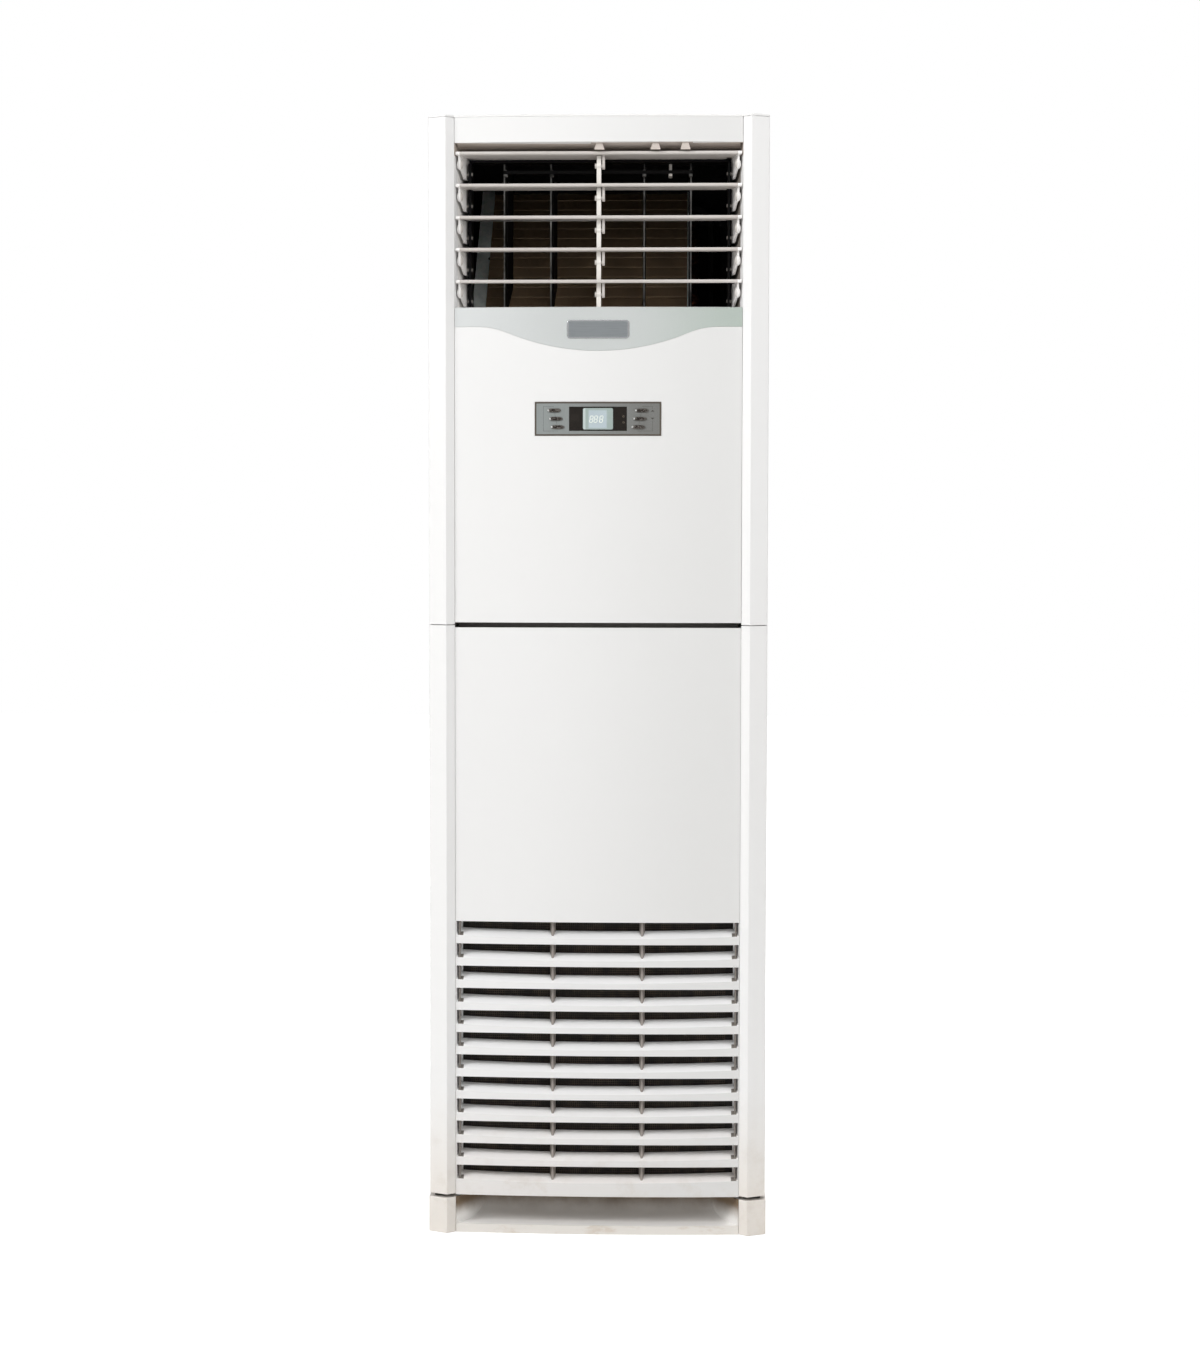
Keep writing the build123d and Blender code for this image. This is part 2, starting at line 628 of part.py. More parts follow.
def head_bar():
    """Channel over the outlet: bulged front, flat top, the start of the sloping roof and its lugs."""
    drop = ROOF_TAPER * SILL_DEPTH
    path = [
        (SILL_Y - FIT, VENT_TOP - drop),
        (PANEL_Y, VENT_TOP),
        (PANEL_Y, WALL_TOP_Z),
        (SILL_Y, WALL_TOP_Z),
    ]
    section = wall_outline([(y, z) for y, z in reversed(path)], PANEL_WALL)
    bar = trim_to_duct(bowed(section, PANEL_HALF))
    nose = bar.edges().filter_by(lambda e: abs(e.center().Z - VENT_TOP) < 0.1 and e.length > BAY_HALF)
    bar = fillet(nose, 0.8)
    front = PANEL_Y + LUG_BACK
    for x in LUGS_X:
        foot, top = LUG_WIDTH / 2, LUG_TOP / 2
        low, high = VENT_TOP - LUG_DROP, roof_z(front)
        lug = [(x - foot, low), (x + foot, low), (x + top, high), (x - top, high)]
        bar += prism(lug, "y", front, front + LUG_WALL)
    return bar


# ---- upper front panel ----
def band_outline(grow):
    """Outline of the accent band in (x, z): straight top, smile-shaped foot of three arcs."""
    rise = BAND_FLAT_Z - BAND_LOW_Z
    radii = (BAND_FLAT_X ** 2 + rise ** 2) / (2 * rise)     # both arcs' radii together
    meet_x = BAND_FLAT_X * BAND_ARC_R / radii
    meet_z = BAND_LOW_Z + BAND_ARC_R - sqrt(BAND_ARC_R ** 2 - meet_x ** 2)
    end_r = radii - BAND_ARC_R
    half_way = (BAND_FLAT_X + meet_x) / 2
    end_z = BAND_FLAT_Z - end_r + sqrt(end_r ** 2 - (BAND_FLAT_X - half_way) ** 2)
    edge = PANEL_HALF + grow

    def at(x, z):
        return (x, 0, z - grow)

    lines = [
        Line(at(-edge, VENT_BOTTOM + 3 * grow), at(-edge, BAND_FLAT_Z)),
        Line(at(-edge, BAND_FLAT_Z), at(-BAND_FLAT_X, BAND_FLAT_Z)),
        ThreePointArc(at(-BAND_FLAT_X, BAND_FLAT_Z), at(-half_way, end_z), at(-meet_x, meet_z)),
        ThreePointArc(at(-meet_x, meet_z), at(0, BAND_LOW_Z), at(meet_x, meet_z)),
        ThreePointArc(at(meet_x, meet_z), at(half_way, end_z), at(BAND_FLAT_X, BAND_FLAT_Z)),
        Line(at(BAND_FLAT_X, BAND_FLAT_Z), at(edge, BAND_FLAT_Z)),
        Line(at(edge, BAND_FLAT_Z), at(edge, VENT_BOTTOM + 3 * grow)),
        Line(at(edge, VENT_BOTTOM + 3 * grow), at(-edge, VENT_BOTTOM + 3 * grow)),
    ]
    return make_face(lines)


def band_prism(grow):
    """The band's outline carried through the front."""
    return Pos(0, FRONT_Y - 10, 0) * extrude(band_outline(grow), amount=60, dir=(0, 1, 0))


def front_slice(depth, half, low, high, proud=0.0):
    """Even layer of the bulged front, from the surface to a depth."""
    near, far = PANEL_Y - proud, PANEL_Y + depth
    return bowed([(near, low), (near, high), (far, high), (far, low)], half)


def accent_band():
    """Metallic band under the outlet, flush in the panel's recess."""
    layer = front_slice(BAND_THICK, PANEL_HALF, BAND_LOW_Z - 10, VENT_BOTTOM - 0.5)
    return layer & band_prism(0)


def badge_plate():
    """Blank name plate on the band."""
    low, high = BADGE_Z - BADGE_HEIGHT / 2, BADGE_Z + BADGE_HEIGHT / 2
    plate = front_slice(-0.1, BADGE_WIDTH / 2, low, high, proud=0.1 + BADGE_THICK)
    corners = plate.edges().filter_by(Axis.Y, tolerance=3).filter_by(lambda e: e.length < 2)
    return fillet(corners, 5.0)


def upper_front_panel():
    """Bulged front between outlet and seam: notched sill, band recess, control opening, finger lip."""
    low = SEAM_Z + SEAM_GAP / 2
    wall = PANEL_WALL
    lip_y = PANEL_Y + BLADE_DEPTH
    section = [
        (PANEL_Y, low),
        (PANEL_Y, VENT_BOTTOM),
        (SILL_Y, VENT_BOTTOM),
        (SILL_Y, VENT_BOTTOM - wall),
        (PANEL_Y + wall, VENT_BOTTOM - wall),
        (PANEL_Y + wall, low + wall),
        (lip_y + wall, low + wall),
        (lip_y + wall, low - SEAM_LIP),
        (lip_y, low - SEAM_LIP),
        (lip_y, low),
    ]
    panel = trim_to_duct(bowed(section, PANEL_HALF))
    recess = front_slice(BAND_THICK + FIT, BAY_HALF, BAND_LOW_Z - 10, VENT_BOTTOM - 0.5 + FIT, proud=5)
    panel -= recess & band_prism(FIT)
    half_w, half_h = BEZEL_WIDTH / 2 + FIT, BEZEL_HEIGHT / 2 + FIT
    panel -= block((-half_w, half_w), (FRONT_Y, PANEL_Y + 12), (BEZEL_Z - half_h, BEZEL_Z + half_h))
    pin_y, room = LOUVRE_FRONT_Y + PIVOT_BACK - LINK_PIN_AHEAD, LINK_WIDTH / 2 + LINK_NOTCH
    notch_y = (pin_y - LINK_DEPTH / 2 - LINK_NOTCH, SILL_Y + 1)
    return panel - block((LINK_X - room, LINK_X + room), notch_y, (VENT_BOTTOM - wall - 1, VENT_BOTTOM + 1))


# ---- control panel ----
def button_places():
    """Places of the buttons in (x, z): two slanting columns of three."""
    places = []
    for side in (-1, 1):
        for row in (1, 0, -1):
            x = side * (BUTTON_X + row * BUTTON_STEP_X)
            places.append((x, BEZEL_Z + row * BUTTON_STEP_Z))
    return places


def button_outline(place, grow):
    """Long lozenge of a button's cap."""
    x, z = place
    long, tall = BUTTON_LENGTH / 2 + grow, BUTTON_HEIGHT / 2 + grow
    straight = long - BUTTON_POINT
    blunt = tall / 3
    right = [(straight, -tall), (long, -blunt), (long, blunt), (straight, tall)]
    left = [(-a, -b) for a, b in right]
    return [(x + a, z + b) for a, b in right + left]


def control_bezel():
    """Metallic bezel with a raised rim, display window, button holes and legs for the board."""
    half_w, half_h = BEZEL_WIDTH / 2, BEZEL_HEIGHT / 2
    low, high = BEZEL_Z - half_h, BEZEL_Z + half_h
    bezel = front_slice(BEZEL_WALL, half_w, low, high, proud=BEZEL_PROUD)
    dish = front_slice(-BEZEL_PROUD + 0.4, half_w - BEZEL_RIM, low + BEZEL_RIM, high - BEZEL_RIM, proud=5)
    bezel -= dish
    wide, tall = WINDOW_WIDTH / 2 + FIT, WINDOW_HEIGHT / 2 + FIT
    bezel -= block((-wide, wide), (FRONT_Y, PANEL_Y + 10), (BEZEL_Z - tall, BEZEL_Z + tall))
    for place in button_places():
        bezel -= prism(button_outline(place, FIT), "y", FRONT_Y - 1, PANEL_Y + 10)
    for x in (-half_w + 6, half_w - 6):
        for z in (low + 6, high - 6):
            bezel += rod("y", (x, z), PANEL_Y + 2, BOARD_Y - FIT, 2.5)
    return bezel


def display_lens():
    """Dark surround of the display."""
    half_w, half_h = WINDOW_WIDTH / 2, WINDOW_HEIGHT / 2
    lens = front_slice(LENS_WALL, half_w, BEZEL_Z - half_h, BEZEL_Z + half_h, proud=0.1)
    opening = (LCD_WIDTH / 2, LCD_HEIGHT / 2)
    return lens - block((-opening[0], opening[0]), (FRONT_Y, PANEL_Y + 10),
                        (BEZEL_Z - opening[1], BEZEL_Z + opening[1]))


def lcd_module():
    """Display block that fills the surround and stands on the board."""
    half_w, half_h = LCD_WIDTH / 2 - FIT, LCD_HEIGHT / 2 - FIT
    return block((-half_w, half_w), (PANEL_Y + 0.4, BOARD_Y - FIT), (BEZEL_Z - half_h, BEZEL_Z + half_h))


def control_board():
    """Circuit board behind the bezel."""
    half_w, half_h = BEZEL_WIDTH / 2 - 2, BEZEL_HEIGHT / 2 - 1
    return block((-half_w, half_w), (BOARD_Y, BOARD_Y + BOARD_WALL), (BEZEL_Z - half_h, BEZEL_Z + half_h))


def push_button(place):
    """Push button: lozenge cap, retaining flange behind the bezel and a stem towards the board."""
    back = PANEL_Y + BEZEL_WALL + (abs(place[0]) + BUTTON_LENGTH) ** 2 / (2 * BOW_RADIUS)
    cap = prism(button_outline(place, 0), "y", PANEL_Y - 1.2, back + 1)
    flange = prism(button_outline(place, 0.8), "y", back, back + 1)
    stem = rod("y", place, back, BOARD_Y - BUTTON_TRAVEL - 0.2, BUTTON_STEM_R)
    return fillet(cap.faces().sort_by(Axis.Y)[0].edges(), 0.6) + flange + stem


# ---- outlet duct ----
def wall_half(y):
    """Half width of the outlet between its side walls at a depth."""
    return BAY_HALF - DUCT_TAPER * (y - EDGE_Y - RETURN_LIP)


def roof_z(y):
    """Height of the outlet's sloping roof at a depth."""
    return VENT_TOP - ROOF_TAPER * (y - PANEL_Y)


def duct_volume(front, back, grow):
    """Tapering space of the outlet between two depths."""
    low = DUCT_FLOOR_Z - grow
    sections = []
    for y in (front, back):
        half, roof = wall_half(y) + grow, roof_z(y) + grow
        corners = [(-half, y, low), (half, y, low), (half, y, roof), (-half, y, roof)]
        sections.append(make_face(Polyline(*corners, close=True)))
    return loft(sections)


def outlet_duct():
    """Sloping reveal behind the outlet, with a hole in its roof for the crank's shaft."""
    duct = duct_volume(DUCT_FRONT_Y, DUCT_END_Y, DUCT_WALL)
    duct -= duct_volume(DUCT_FRONT_Y - 1, DUCT_END_Y + 1, 0)
    return duct - rod("z", (CRANK_X, VANE_PIVOT_Y), VANE_ARM_Z, HEIGHT, VANE_PIN_R + 1.5)


def vane_frame():
    """Dark frame inside the duct: its posts carry the blades' studs, its rails the vanes' pins."""
    roof = roof_z(DUCT_END_Y) - FIT
    floor = DUCT_FLOOR_Z + FIT
    wall = FRAME_WALL
    front, back = FRAME_FRONT_Y, DUCT_END_Y - 1
    clear = FRAME_HALF - wall
    frame = block((-FRAME_HALF, FRAME_HALF), (front, back), (floor, roof))
    frame -= block((-clear, clear), (front - 1, back + 1), (floor + wall, roof - wall))
    for z in louvre_pivots():
        frame -= rod("x", (LOUVRE_FRONT_Y + PIVOT_BACK, z), -HALF, HALF, STUD_R + RUNNING_FIT)
    for x in vane_places():
        frame -= rod("z", (x, VANE_PIVOT_Y), 0, HEIGHT, VANE_PIN_R + RUNNING_FIT)
    frame -= rod("z", (CRANK_X, VANE_PIVOT_Y), VANE_ARM_Z, HEIGHT, VANE_PIN_R + RUNNING_FIT)
    frame -= block((-HALF, HALF), (FRAME_FRONT_Y - 1, FRAME_FRONT_Y + FRAME_CUT_DEPTH),
                   (VENT_TOP - FRAME_CUT_DROP, HEIGHT))
    reach = wall_half(DUCT_END_Y - 1) - PANEL_GAP - FRAME_HALF
    foot = block((FRAME_HALF, FRAME_HALF + reach), (DUCT_END_Y - 8, DUCT_END_Y - 1), (floor, roof))
    return frame + both_sides(foot)


# ---- outlet blades and their link ----
def louvre_noses():
    """Heights of the blades' noses, top to bottom."""
    return [LOUVRE_TOP_Z - row * LOUVRE_PITCH for row in range(LOUVRE_COUNT)]


def louvre_pivots():
    """Heights of the blades' pivots."""
    return [z - PIVOT_DROP for z in louvre_noses()]


def louvre_half(y):
    """Half width of a blade at a depth; it tapers with the duct."""
    return LOUVRE_HALF - DUCT_TAPER * (y - LOUVRE_FRONT_Y)


def louvre(row):
    """Outlet blade: tapered plate, slanting end arms with bulges and studs, and the link's tab and pin."""
    nose_z = louvre_noses()[row]
    pivot_y, pivot_z = LOUVRE_FRONT_Y + PIVOT_BACK, nose_z - PIVOT_DROP
    nose, tail = LOUVRE_NOSE / 2, LOUVRE_TAIL / 2
    back_y = LOUVRE_FRONT_Y + LOUVRE_DEPTH
    shape = [
        (LOUVRE_FRONT_Y, nose_z - nose),
        (LOUVRE_FRONT_Y, nose_z + nose),
        (back_y, nose_z + tail),
        (back_y, nose_z - tail),
    ]
    plate = prism(shape, "x", -HALF, HALF)
    plate = fillet(plate.edges().filter_by(Axis.X).sort_by(Axis.Y)[:2], nose * 0.8)
    tilt = LOUVRE_TILT_TOP + row * LOUVRE_TILT_STEP
    plate = plate.rotate(Axis((0, LOUVRE_FRONT_Y, nose_z), (1, 0, 0)), tilt)
    far_y = back_y + 20
    front_half, far_half = louvre_half(LOUVRE_FRONT_Y - 5), louvre_half(far_y)
    plan = [
        (-front_half, LOUVRE_FRONT_Y - 5),
        (front_half, LOUVRE_FRONT_Y - 5),
        (far_half, far_y),
        (-far_half, far_y),
    ]
    plate &= prism(plan, "z", nose_z - 20, nose_z + 20)

    link_y, link_z = pivot_y - LINK_PIN_AHEAD, pivot_z + LINK_PIN_ABOVE
    slot_x = (LINK_X - LINK_WIDTH / 2 - 1.3, LINK_X + LINK_WIDTH / 2 + 1.3)
    slot_y = (link_y - LINK_DEPTH / 2 - LINK_SLOT_AHEAD, link_y + LINK_DEPTH / 2 + LINK_SLOT_BEHIND)
    plate -= block(slot_x, slot_y, (nose_z - 20, nose_z + 20))
    notch_x = (FRAME_HALF - FRAME_WALL - POST_CLEAR, FRAME_HALF + POST_CLEAR)
    plate -= both_sides(block(notch_x, (FRAME_FRONT_Y - NOTCH_AHEAD, back_y + 5), (nose_z - 20, nose_z + 20)))

    inner, outer = ARM_INSET + ARM_WALL, ARM_INSET
    slant = [
        (front_half - inner, LOUVRE_FRONT_Y - 5),
        (front_half - outer, LOUVRE_FRONT_Y - 5),
        (far_half - outer, far_y),
        (far_half - inner, far_y),
    ]
    side = [
        (LOUVRE_FRONT_Y + 5, nose_z - 1),
        (LOUVRE_FRONT_Y + 5, nose_z - PIVOT_DROP / 2 - 3),
        (pivot_y - 10, pivot_z - 9),
        (pivot_y + 6, pivot_z - 9),
        (pivot_y + 6, nose_z - 8),
        (back_y - 1, nose_z - 1),
    ]
    arm = prism(slant, "z", pivot_z - 20, nose_z + 10) & prism(side, "x", 0, HALF)
    stud_root = louvre_half(pivot_y) - ARM_INSET - 1
    stud = rod("x", (pivot_y, pivot_z), STUD_TIP_X, stud_root, STUD_R)
    bulge_y = LOUVRE_FRONT_Y + BULGE_BACK
    bulge_x = louvre_half(bulge_y) - ARM_INSET - ARM_WALL / 2
    bulge = Pos(bulge_x, bulge_y, nose_z - BULGE_DROP) * scale(Sphere(1), by=BULGE)
    end = arm + stud + bulge

    tab_x = (TAB_X, TAB_X + TAB_WALL)
    tab = rod("x", (link_y, link_z), *tab_x, TAB_R)
    tab += block(tab_x, (link_y - TAB_R, link_y + TAB_R), (link_z, nose_z))
    pin_tip = LINK_X - LINK_WIDTH / 2 - 0.3
    pin = rod("x", (link_y, link_z), pin_tip - PIN_HEAD, TAB_X + 1, LINK_PIN_R)
    head = rod("x", (link_y, link_z), pin_tip - PIN_HEAD, pin_tip, PIN_HEAD_R)
    return plate + both_sides(end) + tab + pin + head


def link_bar():
    """Upright bar that ties the five blades together, with a pin hole for each."""
    pin_y = LOUVRE_FRONT_Y + PIVOT_BACK - LINK_PIN_AHEAD
    pins = [z + LINK_PIN_ABOVE for z in louvre_pivots()]
    x = (LINK_X - LINK_WIDTH / 2, LINK_X + LINK_WIDTH / 2)
    y = (pin_y - LINK_DEPTH / 2, pin_y + LINK_DEPTH / 2)
    bar = block(x, y, (VENT_BOTTOM + LINK_FOOT, pins[0] + LINK_RISE))
    for z in pins:
        bar += rod("x", (pin_y, z), *x, LINK_END)
    for z in pins:
        bar -= rod("x", (pin_y, z), x[0] - 1, x[1] + 1, LINK_PIN_R + RUNNING_FIT)
    return bar


# ---- vertical vanes and their drive ----
def vane_places():
    """X of each vane, left to right."""
    first = VANE_MIDDLE_X - VANE_PITCH * (VANE_COUNT - 1) / 2
    return [first + index * VANE_PITCH for index in range(VANE_COUNT)]


def vane_arm(x):
    """Arm that reaches forward from a vane's pivot, with the link's pin on it."""
    pin_y = VANE_PIVOT_Y - VANE_ARM
    half = VANE_ARM_WIDTH / 2
    z = (VANE_ARM_Z, VANE_ARM_Z + VANE_ARM_WALL)
    arm = block((x - half, x + half), (pin_y, VANE_PIVOT_Y), z)
    arm += rod("z", (x, pin_y), *z, half)
    return arm + rod("z", (x, pin_y), z[0], z[1] + FIT + VANE_LINK_HEIGHT + 1.5, VANE_LINK_PIN_R)


def vane(index):
    """Upright vane with its lower rear corner cut to clear the coil, two pins and the link's arm."""
    x = vane_places()[index]
    floor = DUCT_FLOOR_Z + FIT + FRAME_WALL
    roof = roof_z(DUCT_END_Y) - FIT - FRAME_WALL
    front, back = VANE_PIVOT_Y - VANE_AHEAD, VANE_PIVOT_Y - VANE_AHEAD + VANE_DEPTH
    foot = floor + 1
    cut = VANE_CUT_Z - foot
    shape = [(front, foot), (front, roof - 1), (back, roof - 1), (back, VANE_CUT_Z), (back - cut * 0.9, foot)]
    half = VANE_WALL / 2
    plate = prism(shape, "x", x - half, x + half)
    tilt = VANE_TILT_LEFT + index * VANE_TILT_STEP
    plate = plate.rotate(Axis((x, VANE_PIVOT_Y, 0), (0, 0, 1)), -tilt)
    barrel = rod("z", (x, VANE_PIVOT_Y), foot, roof - 1, VANE_PIN_R)
    pins = rod("z", (x, VANE_PIVOT_Y), floor - FRAME_WALL, roof + FRAME_WALL, VANE_PIN_R)
    return plate + barrel + pins + vane_arm(x)


def vane_link():
    """Bar across the vanes' arms, with a hole for each pin and one for the crank."""
    places = vane_places()
    pin_y = VANE_PIVOT_Y - VANE_ARM
    low = VANE_ARM_Z + VANE_ARM_WALL + FIT
    z = (low, low + VANE_LINK_HEIGHT)
    half = VANE_LINK_WIDTH / 2
    bar = block((places[0], places[-1]), (pin_y - half, pin_y + half), z)
    for x in (places[0], places[-1]):
        bar += rod("z", (x, pin_y), *z, half)
    for x in places + [CRANK_X]:
        bar -= rod("z", (x, pin_y), z[0] - 1, z[1] + 1, VANE_LINK_PIN_R + RUNNING_FIT)
    return bar


def vane_crank():
    """Crank on the motor's shaft that swings the vane link."""
    shaft = rod("z", (CRANK_X, VANE_PIVOT_Y), VANE_ARM_Z, MOTOR_SEAT_Z + MOTOR_HEIGHT / 2, VANE_PIN_R)
    return vane_arm(CRANK_X) + shaft


def vane_motor():
    """Small geared motor on the duct's roof, with two fixing ears and a bore for the crank's shaft."""
    centre = (CRANK_X, VANE_PIVOT_Y)
    top = MOTOR_SEAT_Z + MOTOR_HEIGHT
    motor = rod("z", centre, MOTOR_SEAT_Z, top, MOTOR_R)
    for side in (-1, 1):
        ear = (CRANK_X + side * (MOTOR_R + 4), VANE_PIVOT_Y)
        lug = block((CRANK_X, ear[0]), (VANE_PIVOT_Y - 5, VANE_PIVOT_Y + 5), (MOTOR_SEAT_Z, MOTOR_SEAT_Z + 2))
        motor += lug + rod("z", ear, MOTOR_SEAT_Z, MOTOR_SEAT_Z + 2, 5.0)
        motor -= rod("z", ear, MOTOR_SEAT_Z - 1, MOTOR_SEAT_Z + 3, 1.8)
    return motor - rod("z", centre, MOTOR_SEAT_Z - 1, top - 4, VANE_PIN_R + RUNNING_FIT)


# ---- evaporator ----
COIL_PLANE = Plane((0, COIL_FOOT_Y, COIL_FOOT_Z), x_dir=(1, 0, 0), z_dir=(0, -1, 1))


def coil_point(along, deep):
    """(y, z) of a place on the leaning slab: along its length, deep below its front face."""
    slope = 1 / sqrt(2)
    return COIL_FOOT_Y + (along + deep) * slope, COIL_FOOT_Z + (along - deep) * slope


def coil_block(x, along, deep):
    """Box in the leaning slab's own directions."""
    return COIL_PLANE * block(x, along, (-deep[1], -deep[0]))


def tube_places():
    """Distance of each tube along the slab."""
    count = int((COIL_LENGTH - TUBE_FIRST - TUBE_R) / TUBE_PITCH) + 1
    return [TUBE_FIRST + index * TUBE_PITCH for index in range(count)]


def coil_fins():
    """Fin block, with a shallow groove across its front face at each row of tubes."""
    fins = coil_block((COIL_LEFT_X, COIL_RIGHT_X), (0, COIL_LENGTH), (0, COIL_THICK))
    for along in tube_places():
        fins -= coil_block((COIL_LEFT_X - 1, COIL_RIGHT_X + 1), (along - 1.5, along + 1.5), (-1, GROOVE))
    return fins


def coil_end_plates():
    """Two end plates: each stands on the drain pan's floor and leans on the rear liner."""
    plates = []
    pan_floor = PAN_BOTTOM_Z + PAN_WALL + FIT
    for x, flange in ((COIL_LEFT_X, -PLATE_FLANGE), (COIL_RIGHT_X, 0)):
        sheet = (x - PLATE_WALL, x) if flange else (x, x + PLATE_WALL)
        plate = coil_block(sheet, (0, COIL_LENGTH), (0, COIL_THICK))
        low_y, low_z = coil_point(0, COIL_THICK)
        plate += block(sheet, (low_y - 12, low_y + 12), (pan_floor, low_z + 12))
        top_y, top_z = coil_point(COIL_LENGTH, COIL_THICK)
        plate += block(sheet, (top_y - 20, LINER_FACE_Y), (top_z - 8, top_z + 12))
        if flange:
            plate += coil_block((x + flange, x), (20, COIL_LENGTH), (-PLATE_WALL, 0))
        plates.append(plate)
    return Compound(children=plates)


def return_bend(x, side, along, deep):
    """Half turn of tube between two neighbouring rows, outside an end plate."""
    middle = Plane((x, *coil_point(along + TUBE_PITCH / 2, deep)), x_dir=(0, 1, 1), z_dir=(0, 1, -1))
    turn = Torus(TUBE_PITCH / 2, TUBE_R, major_angle=180, align=(Align.CENTER, Align.MIN, Align.CENTER))
    return middle * Rot(0, 0, 0 if side > 0 else 180) * turn


def coil_tubes():
    """Return bends on both ends of the coil, in two rows."""
    bends = []
    for deep in TUBE_ROWS:
        for index, along in enumerate(tube_places()[:-1]):
            if index % 2 == 0:
                bends.append(return_bend(COIL_LEFT_X - PLATE_WALL - FIT, -1, along, deep))
            else:
                bends.append(return_bend(COIL_RIGHT_X + PLATE_WALL + FIT, 1, along, deep))
    return Compound(children=bends)


def pipe(points, radii, radius, bore):
    """Bent tube along straight runs joined by arcs."""
    path = FilletPolyline(*points, radius=radii)
    start = Plane(points[0], z_dir=Vector(*points[1]) - Vector(*points[0]))
    return sweep(start * Circle(radius), path=path) - sweep(start * Circle(bore), path=path)


def refrigerant_pipes():
    """Liquid and gas pipes from the coil down to the pipe port."""
    start_x = COIL_RIGHT_X + PLATE_WALL
    runs = []
    for x, exit_z, radius, deep in (
        (GAS_X, GAS_EXIT_Z, GAS_R, TUBE_ROWS[1]),
        (LIQUID_X, LIQUID_EXIT_Z, LIQUID_R, TUBE_ROWS[0]),
    ):
        y, z = coil_point(tube_places()[-1], deep)
        points = [(start_x, y, z), (x, y, z), (x, y, exit_z), (x, PIPE_END_Y, exit_z)]
        bend = min(x - start_x, PIPE_END_Y - NUT_LENGTH - y) * 0.95
        runs.append(pipe(points, [bend, bend], radius, radius - PIPE_WALL))
    return Compound(children=runs)


def flare_nuts():
    """Hexagon nuts at the pipes' ends."""
    nuts = []
    for x, z, radius in ((GAS_X, GAS_EXIT_Z, GAS_R), (LIQUID_X, LIQUID_EXIT_Z, LIQUID_R)):
        face = Plane((x, PIPE_END_Y - NUT_LENGTH, z), x_dir=(1, 0, 0), z_dir=(0, 1, 0))
        outline = RegularPolygon(radius * 1.5, 6) - Circle(radius + 0.2)
        nuts.append(extrude(face * outline, amount=NUT_LENGTH - 2))
    return Compound(children=nuts)


def drain_pan():
    """Trough under the coil's foot, fixed between the side panels, with a spout on the left."""
    half = SIDE_INNER_X - PANEL_GAP
    pan = block((-half, half), (PAN_FRONT_Y, PAN_BACK_Y), (PAN_BOTTOM_Z, PAN_RIM_Z))
    pan -= block((-half + PAN_WALL, half - PAN_WALL), (PAN_FRONT_Y + PAN_WALL, PAN_BACK_Y - PAN_WALL),
                 (PAN_BOTTOM_Z + PAN_WALL, PAN_RIM_Z + 1))
    centre = (SPOUT_X, SPOUT_Y)
    pan += rod("z", centre, PAN_BOTTOM_Z - SPOUT_LENGTH, PAN_BOTTOM_Z + 1, SPOUT_R)
    return pan - rod("z", centre, PAN_BOTTOM_Z - SPOUT_LENGTH - 1, PAN_BOTTOM_Z + PAN_WALL + 1, SPOUT_BORE_R)


def drain_pipe():
    """Pipe from the spout down the left side and out through the rear panel."""
    points = [
        (SPOUT_X, SPOUT_Y, PAN_BOTTOM_Z - FIT),
        (SPOUT_X, SPOUT_Y, DRAIN_EXIT_Z),
        (SPOUT_X, BACK_Y, DRAIN_EXIT_Z),
    ]
    return pipe(points, [DRAIN_BEND], DRAIN_R, DRAIN_BORE_R)


# ---- fan ----
def fan_deck():
    """Shelf over the fan, with the air passage and the pipes' holes."""
    half = SIDE_INNER_X - FIT
    deck = block((-half, half), (DECK_FRONT_Y, FLANGE_Y - SHEET - FIT), (DECK_Z, DECK_Z + SHEET))
    deck += block((-half, half), (DECK_FRONT_Y, DECK_FRONT_Y + SHEET), (DECK_Z - 15, DECK_Z + SHEET))
    left, right = neck_limits()
    deck -= block((left, right), (HOUSING_FRONT_Y, HOUSING_BACK_Y), (DECK_Z - 1, DECK_Z + 5))
    for x, radius, deep in ((GAS_X, GAS_R, TUBE_ROWS[1]), (LIQUID_X, LIQUID_R, TUBE_ROWS[0])):
        y = coil_point(tube_places()[-1], deep)[0]
        deck -= rod("z", (x, y), DECK_Z - 1, DECK_Z + 5, radius + 3)
    return deck - rod("z", (SPOUT_X, SPOUT_Y), DECK_Z - 1, DECK_Z + 5, DRAIN_R + 3)


def neck_limits():
    """X limits of the housing's upward neck."""
    left = WHEEL_X + SCROLL_START_R * cos(radians(SCROLL_START))
    return left, WHEEL_X + SCROLL_END_R


def scroll_volume(grow, front, back, top):
    """Spiral space around the wheel that opens into the upward neck."""
    turn = 360 - SCROLL_START
    growth = log(SCROLL_END_R / SCROLL_START_R) / turn
    spiral = []
    steps = 12
    for step in range(steps + 1):
        swept = turn * step / steps
        radius = SCROLL_START_R * exp(growth * swept) + grow
        angle = radians(SCROLL_START + swept)
        spiral.append((WHEEL_X + radius * cos(angle), front, WHEEL_Z + radius * sin(angle)))
    left, right = spiral[0][0] - (grow / 2), spiral[-1][0]
    curve = Spline(*spiral)
    neck = Polyline(spiral[-1], (right, front, top), (left, front, top), spiral[0])
    return extrude(make_face([curve, neck]), amount=back - front, dir=(0, 1, 0))


def blower_housing():
    """Spiral sheet around the wheel, with the neck up to the deck."""
    front = HOUSING_FRONT_Y + HOUSING_SHEET + FIT
    back = HOUSING_BACK_Y - HOUSING_SHEET - FIT
    top = DECK_Z - FIT
    return scroll_volume(HOUSING_SHEET, front, back, top) - scroll_volume(0, front - 1, back + 1, top + 1)


